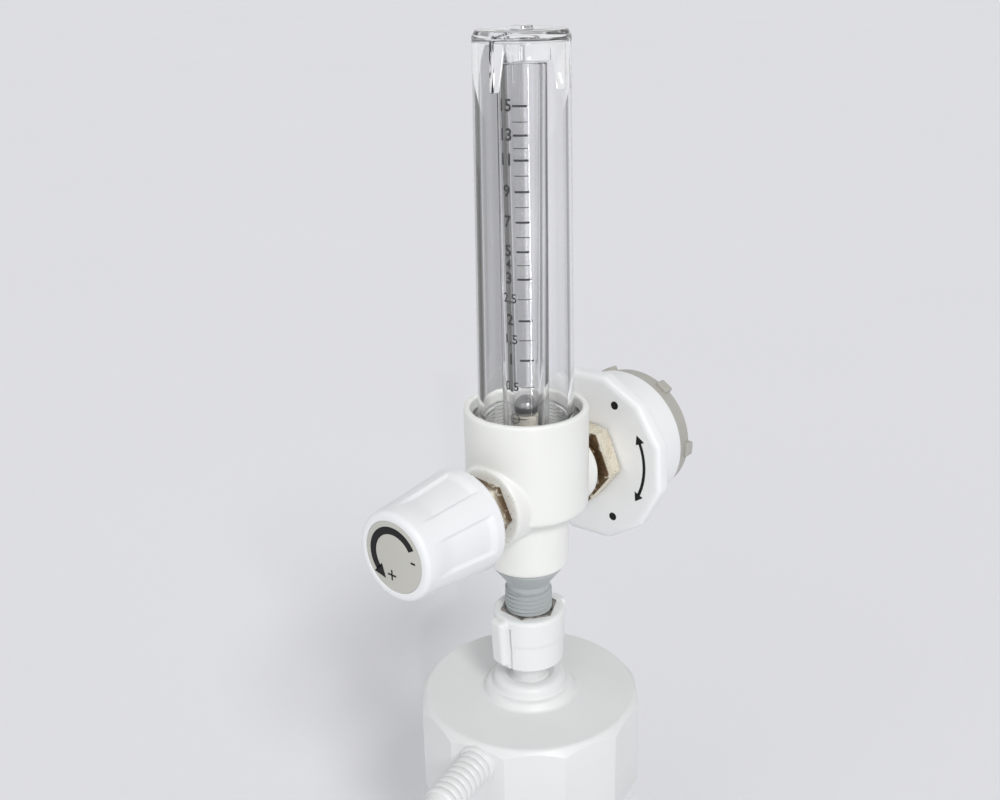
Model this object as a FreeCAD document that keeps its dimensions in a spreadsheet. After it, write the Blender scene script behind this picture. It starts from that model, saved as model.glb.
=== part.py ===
import FreeCAD, Part
import math
import os

import Sketcher
from FreeCAD import Placement, Rotation, Vector

# Oxygen flowmeter on its humidifier, in millimetres.
# The origin is the centre of the jar's base. +Z is up, the control knob points along -Y and the
# gas probe along +Y. Heights of the stack are worked out upwards from the jar.

SIZES = {
    # Clearances between pieces
    "fixed_gap": 0.05,              # pieces that are pressed, screwed or glued together
    "running_gap": 0.06,            # a shaft that turns or slides in its hole
    "moving_gap": 0.3,              # moving faces that never touch
    # Humidifier jar
    "jar_radius": 30.0,
    "jar_wall": 2.2,
    "jar_floor": 3.0,
    "jar_height": 96.8,
    "jar_draft": 1.2,               # how much narrower the jar is at its base
    "jar_foot_round": 3.5,
    # Gasket between jar and lid
    "gasket_thickness": 1.5,
    "gasket_width": 3.2,
    # Lid with stem, dome and hose barb
    "lid_wall": 2.92,               # between the jar's rim and the lid's flats
    "lid_height": 29.8,
    "lid_head": 12.0,               # from the gasket's seat to the lid's top face
    "lid_ceiling": 3.3,
    "lid_seat_width": 3.5,          # from the jar's outer edge inwards
    "lid_skirt_gap": 0.5,
    "lid_edge_width": 2.2,          # bevel from the flat round top out to the corners
    "lid_edge_drop": 2.6,
    "lid_turn": 11.3,               # degrees from the knob's direction to the barb
    "dome_radius": 13.8,
    "dome_height": 2.4,
    "dome_round": 2.0,
    "ring_radius": 11.2,
    "ring_height": 6.1,
    "ring_round": 2.4,
    "ring_hollow": 2.6,             # depth of the trough around the stem
    "trough_radius": 6.1,
    "stem_radius": 5.4,
    "stem_height": 15.1,
    "stem_round": 0.6,
    "barb_drop": 6.8,               # from the lid's top face to the barb's axis
    "barb_bite": 1.9,               # how deep in the lid's wall the barb starts
    "barb_flange_radius": 5.9,
    "barb_flange_height": 1.2,
    "barb_radius": 5.3,
    "barb_rib_depth": 0.55,
    "barb_pitch": 2.5,
    "barb_ribs": 8,
    "barb_tip_radius": 3.9,
    "barb_tip_length": 2.6,
    "barb_bore": 2.4,
    # Dip tube and diffuser
    "dip_radius": 3.0,
    "dip_bore": 2.0,
    "dip_socket_radius": 5.6,
    "dip_socket_length": 8.0,
    "dip_insertion": 6.5,
    "diffuser_radius": 5.6,
    "diffuser_length": 12.0,
    "diffuser_socket": 7.0,
    "diffuser_clearance": 2.2,      # from the jar's floor
    # Metal nipple in the stem, and its washer
    "nipple_radius": 4.0,
    "nipple_bore": 2.5,
    "nipple_length": 12.0,
    "nipple_flange_radius": 6.6,
    "nipple_flange": 2.4,
    "washer_radius": 6.3,
    "washer_bore": 3.4,
    "washer_thickness": 1.2,
    # Wing nut and its metal insert
    "nut_radius": 10.9,
    "nut_foot_radius": 10.45,
    "nut_foot_height": 8.4,
    "nut_height": 17.0,
    "nut_plate": 3.0,
    "nut_float": 0.4,               # play of the nut under the nipple's flange
    "nut_round": 1.2,
    "nut_cavity_radius": 7.2,
    "wing_radius": 12.9,
    "wing_foot_radius": 11.9,
    "wing_width": 6.0,
    "wing_lift": 3.0,
    "wing_top": 16.4,
    "wing_round": 1.8,
    "wing_turn": -13.2,             # degrees from the knob's direction to one wing
    "insert_corner_radius": 8.9,
    "insert_height": 11.5,
    "insert_proud": 0.5,
    # Outlet fitting
    "outlet_thread_radius": 7.14,
    "outlet_thread_length": 17.0,
    "outlet_relief_radius": 6.5,
    "outlet_relief": 2.0,
    "outlet_flare_radius": 10.8,
    "outlet_flare_height": 6.8,
    "outlet_shank_radius": 5.6,
    "outlet_shank_length": 9.0,
    "outlet_bore": 3.0,
    "outlet_chamfer": 0.8,
    "outlet_seal_radius": 8.1,
    "outlet_seal_thickness": 1.5,
    # Valve body
    "body_radius": 18.0,
    "body_height": 50.2,
    "neck_radius": 12.2,
    "neck_height": 18.2,
    "neck_round": 1.4,
    "shoulder_radius": 16.9,
    "shoulder_rise": 0.7,
    "shoulder_slope": 1.2,
    "rim_radius": 16.0,
    "rim_round": 0.8,
    "cup_depth": 14.0,
    "pocket_depth": 5.0,
    "axis_drop": 25.9,              # from the rim down to the knob and probe axis
    "channel_radius": 1.3,
    "front_boss_radius": 12.2,
    "rear_boss_radius": 11.6,
    "front_boss_reach": 18.6,
    "rear_boss_reach": 20.0,
    "boss_round": 1.0,
    "passage_offset": 9.5,
    "passage_radius": 1.2,
    "passage_height": 10.6,
    "neck_chamber": 3.0,            # room above the outlet fitting's shank
    # Clear column: shroud, flow tube, seals, ball and seat
    "shroud_seal_thickness": 1.5,
    "shroud_seal_bore": 13.0,
    "shroud_flange_radius": 15.7,
    "shroud_flange_height": 9.5,
    "shroud_rim_radius": 13.75,
    "shroud_top_radius": 12.86,
    "shroud_wall": 1.6,
    "shroud_headroom": 5.6,         # above the flow tube's top end
    "shroud_ceiling": 2.4,
    "shroud_chamfer": 0.9,
    "shroud_chamfer_height": 1.7,
    "gate_radius": 3.0,
    "gate_height": 1.0,
    "rib_thickness": 1.4,
    "rib_inner_radius": 6.9,
    "rib_drop": 7.0,                # below the flow tube's top end
    "rib_stop_radius": 0.9,
    "tube_radius": 6.6,
    "tube_height": 112.3,
    "tube_lower_bore": 3.55,
    "tube_upper_bore": 4.6,
    "tube_seal_thickness": 1.5,
    "tube_seal_bore": 3.0,
    "seat_height": 15.5,
    "seat_bore": 1.2,
    "seat_lip": 2.9,
    "seat_cone": 1.7,
    "ball_radius": 3.45,
    # Control valve at the front
    "gland_corner_radius": 9.8,
    "gland_head": 7.4,
    "gland_shank_radius": 6.9,
    "gland_shank": 7.6,
    "gland_bevel": 0.9,
    "gland_turn": -4.0,             # degrees from a corner pointing sideways
    "spindle_radius": 4.0,
    "spindle_reach": 44.5,
    "spindle_flange_radius": 6.0,
    "spindle_flange": 2.5,
    "spindle_recess": 3.0,
    "spindle_bore": 2.6,
    "spindle_bore_reach": 32.0,
    "spindle_seal_at": 15.0,
    "spindle_seal_wire": 0.4,
    "spindle_groove_radius": 3.15,
    "seat_plane": 1.0,              # the needle's seat lies this far behind the body's centre
    "orifice_radius": 1.2,
    "orifice_length": 3.0,
    "needle_radius": 2.54,
    "needle_tip_radius": 0.5,
    "needle_tip_reach": 2.2,
    "needle_cone": 3.9,
    "needle_reach": 22.0,
    "guide_side": 6.0,
    "guide_start": 3.2,
    "guide_length": 3.0,
    # Knob
    "knob_back": 27.6,
    "knob_length": 27.9,
    "knob_back_radius": 15.2,
    "knob_front_radius": 12.6,
    "knob_back_round": 0.8,
    "knob_front_round": 1.6,
    "knob_hub_back": 29.4,
    "knob_hub_radius": 6.6,
    "knob_cavity_radius": 12.8,
    "knob_cavity_top": 48.0,
    "knob_cavity_top_radius": 10.6,
    "grip_depth": 0.7,
    "grip_angle": 46.0,
    "grip_count": 5,
    "grip_start": 3.4,              # from the knob's back rim
    "grip_end": 24.2,
    "grip_turn": 77.5,              # degrees from +X up to the first recess's middle
    "label_radius": 10.15,
    "label_thickness": 0.6,
    "label_sink": 0.15,
    "screw_head_radius": 2.9,
    "screw_head": 2.2,
    "screw_radius": 1.5,
    "screw_length": 8.0,
    "screw_well_radius": 3.3,
    "screw_web": 1.6,
    # Gas probe at the back
    "inlet_shank_radius": 6.95,
    "inlet_shank": 11.5,
    "inlet_neck_radius": 9.0,
    "inlet_neck": 2.9,
    "inlet_corner_radius": 13.3,
    "inlet_head": 6.4,
    "inlet_bevel": 1.0,
    "inlet_turn": 7.0,
    "inlet_bore": 4.45,
    "inlet_socket": 5.2,
    "inlet_passage_radius": 3.0,
    "filter_length": 7.0,
    "filter_depth": 1.5,            # from the inlet nut's inner end
    "collar_corner_radius": 27.7,
    "collar_thickness": 4.9,
    "collar_bevel": 1.2,
    "collar_turn": 12.2,
    "sleeve_radius": 21.8,
    "sleeve_length": 15.0,
    "sleeve_wall": 2.5,
    "ring_back_radius": 20.2,
    "ring_front_radius": 21.3,
    "ring_length": 7.0,
    "ring_spigot": 3.5,
    "ring_bore": 15.5,
    "ring_web": 3.0,
    "lug_count": 6,
    "lug_turn": 3.0,
    "lug_width": 4.6,
    "lug_rise": 1.6,
    "lug_length": 3.6,
    "stem_rod_radius": 8.0,
    "stem_rod_end": 58.0,
    "stem_nose_radius": 5.0,
    "stem_nose_end": 70.0,
    "stem_bore": 2.5,
    "stem_chamfer": 0.8,
    "circlip_radius": 10.2,
    "circlip_thickness": 1.1,
    "circlip_groove_radius": 7.3,
    "circlip_mouth": 5.0,
    "nose_groove_at": 62.0,
    "nose_groove_radius": 3.6,
    "nose_seal_wire": 0.8,
}

document = FreeCAD.newDocument("OxygenFlowmeter")
sheet = document.addObject("Spreadsheet::Sheet", "Sizes")
for row, (alias, number) in enumerate(SIZES.items(), start=1):
    sheet.set(f"A{row}", alias)
    sheet.set(f"B{row}", str(number))
    sheet.setAlias(f"B{row}", alias)
document.recompute()


class Size:
    """A length that keeps the sheet formula it comes from."""

    def __init__(self, formula, value):
        self.formula = formula
        self.value = value

    def joined(self, sign, other, value, swap=False):
        first, second = (other, self) if swap else (self, other)
        return Size(f"({first.formula} {sign} {second.formula})", value)

    def __add__(self, other):
        other = as_size(other)
        return self.joined("+", other, self.value + other.value)

    def __sub__(self, other):
        other = as_size(other)
        return self.joined("-", other, self.value - other.value)

    def __rsub__(self, other):
        other = as_size(other)
        return self.joined("-", other, other.value - self.value, swap=True)

    def __mul__(self, other):
        other = as_size(other)
        return self.joined("*", other, self.value * other.value)

    def __truediv__(self, other):
        other = as_size(other)
        return self.joined("/", other, self.value / other.value)

    def __neg__(self):
        return 0 - self

    __radd__ = __add__
    __rmul__ = __mul__


def as_size(number):
    return number if isinstance(number, Size) else Size(f"{float(number):.9f}", float(number))


class Sheet:
    """Reads a size from the sheet by its name."""

    def __getattr__(self, alias):
        return Size(f"Sizes.{alias}", float(sheet.get(alias)))


S = Sheet()
FULL_TURN = 360.0
BEYOND = 1.0                # cutting profiles reach this far past the faces they open
UPRIGHT = Rotation()
FRONT = Rotation(Vector(1, 0, 0), 90)       # a piece's own +Z then points along -Y
REAR = Rotation(Vector(1, 0, 0), -90)       # a piece's own +Z then points along +Y

# Heights of the stack, from the jar's base upwards
gasket_top = S.jar_height + S.gasket_thickness
lid_top = gasket_top + S.lid_head
lid_bottom = lid_top - S.lid_height
stem_top = lid_top + S.stem_height
nut_bottom = stem_top - S.nut_float - S.nut_plate
nipple_top = stem_top + S.nipple_flange
outlet_bottom = nipple_top + S.washer_thickness
neck_bottom = outlet_bottom + S.outlet_thread_length + S.outlet_relief + S.outlet_flare_height
rim_top = neck_bottom + S.body_height
axis_height = rim_top - S.axis_drop
cup_floor = rim_top - S.cup_depth
pocket_floor = cup_floor - S.pocket_depth
shroud_bottom = cup_floor + S.shroud_seal_thickness
tube_bottom = pocket_floor + S.tube_seal_thickness
tube_top = tube_bottom + S.tube_height
filter_start = S.rear_boss_reach - S.inlet_shank + S.filter_depth
shroud_height = tube_top + S.shroud_headroom + S.shroud_ceiling - shroud_bottom
nut_pocket_depth = S.insert_height - S.insert_proud

# The lid's outer size follows from the jar that it screws onto
TWELVE_SIDED = math.cos(math.pi / 12)       # a flat's distance as a share of its corners'
lid_flat_radius = S.jar_radius + S.lid_skirt_gap + S.lid_wall
lid_corner_radius = lid_flat_radius / TWELVE_SIDED
lid_face_radius = lid_corner_radius - S.lid_edge_width
lid_inner_radius = S.jar_radius - S.lid_seat_width


def place(piece, height=None, turn=None, spin=None, reach=None):
    """Turn a piece, lift it to a height and slide it along Y, all bound to the sheet."""
    rotation = turn or UPRIGHT
    if spin is not None:
        rotation = rotation * Rotation(Vector(0, 0, 1), spin.value)
    piece.Placement = Placement(Vector(0, 0, 0), rotation)
    if height is not None:
        piece.setExpression("Placement.Base.z", height.formula)
    if reach is not None:
        piece.setExpression("Placement.Base.y", reach.formula)
    return piece


def new_body(label):
    body = document.addObject("PartDesign::Body", label)
    body.Label = label
    return body


def origin_feature(body, role):
    return next(item for item in body.Origin.OriginFeatures if item.Role == role)


def new_sketch(body, label, role="XZ_Plane", offset=None):
    sketch = body.newObject("Sketcher::SketchObject", label)
    sketch.AttachmentSupport = (origin_feature(body, role), [""])
    sketch.MapMode = "FlatFace"
    if offset is not None:
        sketch.AttachmentOffset = Placement(Vector(0, 0, offset.value), Rotation())
        sketch.setExpression("AttachmentOffset.Base.z", offset.formula)
    return sketch


def bind_length(sketch, kind, first, second, size):
    """Hold a point at a signed distance from the sketch's origin."""
    if size.value < 0:
        number = sketch.addConstraint(Sketcher.Constraint(kind, *second, *first, -size.value))
        sketch.setExpression(f"Constraints[{number}]", (-size).formula)
        return
    number = sketch.addConstraint(Sketcher.Constraint(kind, *first, *second, size.value))
    sketch.setExpression(f"Constraints[{number}]", size.formula)


def pin_point(sketch, geometry, end, across, up):
    """Place one end of a line or arc at two sizes measured from the sketch's origin."""
    for kind, axis, size in (("DistanceX", -2, across), ("DistanceY", -1, up)):
        if abs(size.value) < 1e-9:
            sketch.addConstraint(Sketcher.Constraint("PointOnObject", geometry, end, axis))
        else:
            bind_length(sketch, kind, (-1, 1), (geometry, end), size)


def arc_between(start, end, radius, turn):
    """The arc from start to end, counter-clockwise for turn 1 and clockwise for turn -1."""
    middle = (start + end) / 2
    chord = end - start
    rise = math.sqrt(max(radius * radius - chord.Length ** 2 / 4, 0.0))
    normal = Vector(-chord.y, chord.x, 0).normalize()
    centre = middle + normal * rise * turn
    first, last = (start, end) if turn > 0 else (end, start)
    angles = [math.atan2(point.y - centre.y, point.x - centre.x) for point in (first, last)]
    return Part.ArcOfCircle(Part.Circle(centre, Vector(0, 0, 1), radius), *angles)


def outline(sketch, corners):
    """A closed outline through corners given as (across, up) or (across, up, radius, turn).

    A radius and a turn make the stretch from that corner to the next an arc.
    """
    corners = [tuple(as_size(item) for item in corner[:3]) + corner[3:] for corner in corners]
    points = [Vector(corner[0].value, corner[1].value, 0) for corner in corners]
    ends = []
    for index, corner in enumerate(corners):
        start = points[index]
        finish = points[(index + 1) % len(points)]
        if len(corner) == 4:
            radius, turn = corner[2], corner[3]
            geometry = sketch.addGeometry(arc_between(start, finish, radius.value, turn), False)
            number = sketch.addConstraint(Sketcher.Constraint("Radius", geometry, radius.value))
            sketch.setExpression(f"Constraints[{number}]", radius.formula)
            ends.append((geometry, 1, 2) if turn > 0 else (geometry, 2, 1))
        else:
            geometry = sketch.addGeometry(Part.LineSegment(start, finish), False)
            ends.append((geometry, 1, 2))
    for index, (geometry, first, last) in enumerate(ends):
        following = ends[(index + 1) % len(ends)]
        link = Sketcher.Constraint("Coincident", geometry, last, following[0], following[1])
        sketch.addConstraint(link)
        pin_point(sketch, geometry, first, corners[index][0], corners[index][1])
    return sketch


def circle(sketch, radius, across=0.0, up=0.0):
    across, up = as_size(across), as_size(up)
    centre = Vector(across.value, up.value, 0)
    geometry = sketch.addGeometry(Part.Circle(centre, Vector(0, 0, 1), radius.value), False)
    number = sketch.addConstraint(Sketcher.Constraint("Radius", geometry, radius.value))
    sketch.setExpression(f"Constraints[{number}]", radius.formula)
    pin_point(sketch, geometry, 3, across, up)
    return sketch


def polygon(sketch, corner_radius, sides):
    corners = []
    for index in range(sides):
        angle = math.radians(FULL_TURN * index / sides)
        corners.append((corner_radius * round(math.cos(angle), 12),
                        corner_radius * round(math.sin(angle), 12)))
    return outline(sketch, corners)


def turn_profile(body, label, corners, cut=False, angle=FULL_TURN, midplane=False):
    """Revolve an outline about the body's own Z axis, adding or cutting."""
    sketch = outline(new_sketch(body, f"{label}_profile"), corners)
    kind = "PartDesign::Groove" if cut else "PartDesign::Revolution"
    feature = body.newObject(kind, label)
    feature.Profile = sketch
    feature.ReferenceAxis = (sketch, ["V_Axis"])
    feature.Midplane = midplane
    feature.Angle = angle
    return feature


def turn_across(body, label, height, corners):
    """Cut an outline revolved about a level line along Y, at a height of the body."""
    sketch = new_sketch(body, f"{label}_profile", "YZ_Plane")
    line = Part.LineSegment(Vector(-BEYOND, height.value, 0), Vector(BEYOND, height.value, 0))
    axis = sketch.addGeometry(line, True)
    pin_point(sketch, axis, 1, as_size(-BEYOND), height)
    pin_point(sketch, axis, 2, as_size(BEYOND), height)
    outline(sketch, [(corner[0], height + corner[1]) for corner in corners])
    feature = body.newObject("PartDesign::Groove", label)
    feature.Profile = sketch
    feature.ReferenceAxis = (sketch, ["Axis0"])
    feature.Angle = FULL_TURN
    return feature


def pad(body, sketch, length, reverse=False, midplane=False):
    feature = body.newObject("PartDesign::Pad", f"{sketch.Name}_pad")
    feature.Profile = sketch
    feature.Midplane = midplane
    feature.Reversed = reverse
    feature.setExpression("Length", as_size(length).formula)
    return feature


def pocket(body, sketch, length, reverse=False):
    feature = body.newObject("PartDesign::Pocket", f"{sketch.Name}_pocket")
    feature.Profile = sketch
    feature.Reversed = reverse
    feature.setExpression("Length", as_size(length).formula)
    return feature


def around(body, features, count, label):
    """Repeat features about the body's own Z axis."""
    pattern = body.newObject("PartDesign::PolarPattern", label)
    pattern.Originals = features
    pattern.Axis = (origin_feature(body, "Z_Axis"), [""])
    pattern.Angle = FULL_TURN
    pattern.Occurrences = int(count.value)
    body.Tip = pattern
    return pattern


def bevel_corners(body, label, corner_radius, face, drop):
    """Turn a cone of 30 degrees off a polygon's corners at its upper face."""
    flare = corner_radius + BEYOND
    slope = drop + BEYOND * math.tan(math.radians(30))
    inner = corner_radius - drop / math.tan(math.radians(30))
    return turn_profile(body, label, [
        (inner, face),
        (flare, face - slope),
        (flare, face + BEYOND),
        (inner, face + BEYOND),
    ], cut=True)


def o_ring(label, inner_radius, wire_radius, height):
    """A round-section seal lying in the plane at a height."""
    body = new_body(label)
    sketch = circle(new_sketch(body, f"{label}_section"), wire_radius, inner_radius + wire_radius,
                    height)
    feature = body.newObject("PartDesign::Revolution", f"{label}_turn")
    feature.Profile = sketch
    feature.ReferenceAxis = (sketch, ["V_Axis"])
    feature.Angle = FULL_TURN
    return body


def flat_ring(label, bore, radius, thickness):
    body = new_body(label)
    turn_profile(body, f"{label}_turn", [
        (bore, 0),
        (radius, 0),
        (radius, thickness),
        (bore, thickness),
    ])
    return body


def make_jar():
    """Clear moulded jar, a little narrower at its base, open at the top."""
    body = new_body("jar")
    foot_radius = S.jar_radius - S.jar_draft
    foot_round = S.jar_foot_round
    inner_round = foot_round - S.jar_wall / 2
    inner_foot = foot_radius - S.jar_wall
    turn_profile(body, "jar_turn", [
        (0, 0),
        (foot_radius - foot_round, 0, foot_round, 1),
        (foot_radius, foot_round),
        (S.jar_radius, S.jar_height),
        (S.jar_radius - S.jar_wall, S.jar_height),
        (inner_foot, S.jar_floor + inner_round, inner_round, -1),
        (inner_foot - inner_round, S.jar_floor),
        (0, S.jar_floor),
    ])
    return place(body)


def make_lid_gasket():
    ring = flat_ring("lid_gasket", S.jar_radius - S.gasket_width, S.jar_radius,
                     S.gasket_thickness)
    return place(ring, S.jar_height)


def barb_outline():
    """Half section of the hose barb: flange, round ribs and a tapered tip."""
    start = lid_flat_radius - S.barb_bite
    flange_end = lid_flat_radius + S.barb_flange_height
    valley = S.barb_radius - S.barb_rib_depth
    rib_radius = S.barb_pitch * 0.7
    corners = [
        (S.barb_bore, start),
        (S.barb_flange_radius, start),
        (S.barb_flange_radius, flange_end),
    ]
    for rib in range(int(S.barb_ribs.value)):
        corners.append((valley, flange_end + S.barb_pitch * rib, rib_radius, 1))
    ribs_end = flange_end + S.barb_pitch * S.barb_ribs
    corners += [
        (valley, ribs_end),
        (S.barb_tip_radius, ribs_end + S.barb_tip_length),
        (S.barb_bore, ribs_end + S.barb_tip_length),
    ]
    return corners


def make_lid():
    """Twelve-sided lid with a bevelled top, a two-tier dome, the stem and the hose barb."""
    shell = new_body("lid_shell")
    pad(shell, polygon(new_sketch(shell, "lid_sides", "XY_Plane"), lid_corner_radius, 12),
        S.lid_height)
    top = S.lid_height
    outer = lid_corner_radius + BEYOND
    slope = S.lid_edge_drop / S.lid_edge_width
    turn_profile(shell, "lid_bevel", [
        (lid_face_radius, top),
        (outer, top - slope * (outer - lid_face_radius)),
        (outer, top + BEYOND),
        (lid_face_radius, top + BEYOND),
    ], cut=True)
    crest = S.trough_radius + S.ring_round
    dome_top = top + S.dome_height
    ring_top = top + S.ring_height
    turn_profile(shell, "lid_dome", [
        (0, top - BEYOND),
        (S.dome_radius, top - BEYOND),
        (S.dome_radius, dome_top - S.dome_round, S.dome_round, 1),
        (S.dome_radius - S.dome_round, dome_top),
        (S.ring_radius, dome_top),
        (S.ring_radius, ring_top - S.ring_round, S.ring_round, 1),
        (S.ring_radius - S.ring_round, ring_top),
        (crest, ring_top, S.ring_round, 1),
        (S.trough_radius, ring_top - S.ring_round),
        (S.trough_radius, ring_top - S.ring_hollow),
        (S.stem_radius, ring_top - S.ring_hollow),
        (S.stem_radius, top + S.stem_height - S.stem_round, S.stem_round, 1),
        (S.stem_radius - S.stem_round, top + S.stem_height),
        (0, top + S.stem_height),
    ])
    skirt_radius = S.jar_radius + S.lid_skirt_gap
    seat = top - S.lid_head
    ceiling = top - S.lid_ceiling
    socket_end = ceiling - S.dip_socket_length
    nipple_hole = S.nipple_radius + S.fixed_gap
    dip_hole = S.dip_radius + S.fixed_gap
    turn_profile(shell, "lid_cavity", [
        (S.dip_socket_radius, -as_size(BEYOND)),
        (skirt_radius, -as_size(BEYOND)),
        (skirt_radius, seat),
        (lid_inner_radius, seat),
        (lid_inner_radius, ceiling),
        (S.dip_socket_radius, ceiling),
    ], cut=True)
    turn_profile(shell, "lid_flow_way", [
        (0, -as_size(BEYOND)),
        (S.dip_socket_radius + BEYOND, -as_size(BEYOND)),
        (S.dip_socket_radius + BEYOND, socket_end),
        (dip_hole, socket_end),
        (dip_hole, socket_end + S.dip_insertion),
        (S.nipple_bore, socket_end + S.dip_insertion),
        (S.nipple_bore, top + S.stem_height - S.nipple_length),
        (nipple_hole, top + S.stem_height - S.nipple_length),
        (nipple_hole, top + S.stem_height + BEYOND),
        (0, top + S.stem_height + BEYOND),
    ], cut=True)
    shell.Placement = Placement(Vector(0, 0, 0), Rotation(Vector(0, 0, 1), 15))

    barb = new_body("lid_barb")
    turn_profile(barb, "lid_barb_turn", barb_outline())
    place(barb, S.lid_height - S.barb_drop, FRONT)

    drill = document.addObject("Part::Cylinder", "lid_barb_drill")
    drill.setExpression("Radius", S.barb_bore.formula)
    drill.setExpression("Height", lid_corner_radius.formula)
    place(drill, S.lid_height - S.barb_drop, FRONT)

    drill_body = document.addObject("Part::Cut", "lid_drilled")
    drill_body.Base = shell
    drill_body.Tool = drill
    lid = document.addObject("Part::Fuse", "lid")
    lid.Label = "lid"
    lid.Base = drill_body
    lid.Tool = barb
    return place(lid, lid_bottom, spin=S.lid_turn)


def make_dip_tube():
    bottom = S.jar_floor + S.diffuser_clearance + S.diffuser_length - S.diffuser_socket
    socket_end = lid_top - S.lid_ceiling - S.dip_socket_length
    top = socket_end + S.dip_insertion
    tube = flat_ring("dip_tube", S.dip_bore, S.dip_radius,
                     top - bottom - S.fixed_gap * 2)
    return place(tube, bottom + S.fixed_gap)


def make_diffuser():
    """Porous end of the dip tube, closed below, that breaks the gas into bubbles."""
    body = new_body("diffuser")
    socket = S.dip_radius + S.fixed_gap
    floor = S.diffuser_length - S.diffuser_socket
    edge = 1.0
    turn_profile(body, "diffuser_turn", [
        (0, 0),
        (S.diffuser_radius - edge, 0),
        (S.diffuser_radius, edge),
        (S.diffuser_radius, S.diffuser_length - edge),
        (S.diffuser_radius - edge, S.diffuser_length),
        (socket, S.diffuser_length),
        (socket, floor),
        (0, floor),
    ])
    return place(body, S.jar_floor + S.diffuser_clearance)


def make_inlet_nipple():
    """Metal tube pressed into the stem, with the flange that carries the wing nut."""
    body = new_body("inlet_nipple")
    turn_profile(body, "nipple_turn", [
        (S.nipple_bore, 0),
        (S.nipple_radius, 0),
        (S.nipple_radius, S.nipple_length),
        (S.nipple_flange_radius, S.nipple_length),
        (S.nipple_flange_radius, S.nipple_length + S.nipple_flange),
        (S.nipple_bore, S.nipple_length + S.nipple_flange),
    ])
    return place(body, stem_top - S.nipple_length)


def make_nipple_washer():
    ring = flat_ring("nipple_washer", S.washer_bore, S.washer_radius, S.washer_thickness)
    return place(ring, nipple_top)


def make_wing_nut():
    """White nut with two tapered grip wings, a hexagonal pocket and a plate under the flange."""
    body = new_body("wing_nut")
    edge = S.nut_round
    turn_profile(body, "nut_turn", [
        (0, 0),
        (S.nut_foot_radius, 0),
        (S.nut_foot_radius, S.nut_foot_height),
        (S.nut_radius, S.nut_foot_height + S.nut_radius - S.nut_foot_radius),
        (S.nut_radius, S.nut_height - edge, edge, 1),
        (S.nut_radius - edge, S.nut_height),
        (0, S.nut_height),
    ])
    wing = new_sketch(body, "nut_wing")
    outline(wing, [
        (S.nut_foot_radius / 2, S.wing_lift),
        (S.wing_foot_radius - S.wing_round, S.wing_lift, S.wing_round, 1),
        (S.wing_foot_radius, S.wing_lift + S.wing_round),
        (S.wing_radius, S.wing_top - S.wing_round, S.wing_round, 1),
        (S.wing_radius - S.wing_round, S.wing_top),
        (S.nut_foot_radius / 2, S.wing_top),
    ])
    wing_pad = pad(body, wing, S.wing_width, midplane=True)
    around(body, [wing_pad], as_size(2), "nut_wings")
    document.recompute()
    bore_top = S.nut_height - nut_pocket_depth
    turn_profile(body, "nut_bore", [
        (0, -as_size(BEYOND)),
        (S.stem_radius + S.moving_gap, -as_size(BEYOND)),
        (S.stem_radius + S.moving_gap, S.nut_plate),
        (S.nut_cavity_radius, S.nut_plate),
        (S.nut_cavity_radius, bore_top + BEYOND),
        (0, bore_top + BEYOND),
    ], cut=True)
    hexagon = new_sketch(body, "nut_hexagon", "XY_Plane", S.nut_height)
    polygon(hexagon, S.insert_corner_radius + S.fixed_gap, 6)
    pocket(body, hexagon, nut_pocket_depth)
    body.Placement = Placement(Vector(0, 0, 0), Rotation(Vector(0, 0, 1), S.wing_turn.value - 90))
    body.setExpression("Placement.Base.z", nut_bottom.formula)
    return body


def make_wing_nut_insert():
    body = new_body("wing_nut_insert")
    pad(body, polygon(new_sketch(body, "insert_sides", "XY_Plane"), S.insert_corner_radius, 6),
        S.insert_height)
    bore = S.outlet_thread_radius + S.running_gap
    turn_profile(body, "insert_bore", [
        (0, -as_size(BEYOND)),
        (bore, -as_size(BEYOND)),
        (bore, S.insert_height + BEYOND),
        (0, S.insert_height + BEYOND),
    ], cut=True)
    body.Placement = Placement(Vector(0, 0, 0), Rotation(Vector(0, 0, 1), S.wing_turn.value - 90))
    body.setExpression("Placement.Base.z", (nut_bottom + S.nut_height - nut_pocket_depth).formula)
    return body


def make_outlet_fitting():
    """Grey fitting screwed into the neck: shank, flare, relief and outlet thread."""
    body = new_body("outlet_fitting")
    relief = S.outlet_thread_length
    flare = relief + S.outlet_relief
    face = flare + S.outlet_flare_height
    top = face + S.outlet_shank_length
    cut = S.outlet_chamfer
    turn_profile(body, "outlet_turn", [
        (S.outlet_bore + cut, 0),
        (S.outlet_thread_radius - cut, 0),
        (S.outlet_thread_radius, cut),
        (S.outlet_thread_radius, relief),
        (S.outlet_relief_radius, relief),
        (S.outlet_relief_radius, flare),
        (S.outlet_flare_radius, face - cut),
        (S.outlet_flare_radius, face),
        (S.outlet_shank_radius, face),
        (S.outlet_shank_radius, top),
        (S.outlet_bore, top),
        (S.outlet_bore, cut),
    ])
    return place(body, outlet_bottom)


def make_outlet_seal():
    ring = flat_ring("outlet_seal", S.outlet_shank_radius + S.fixed_gap, S.outlet_seal_radius,
                     S.outlet_seal_thickness)
    return place(ring, neck_bottom)


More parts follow.
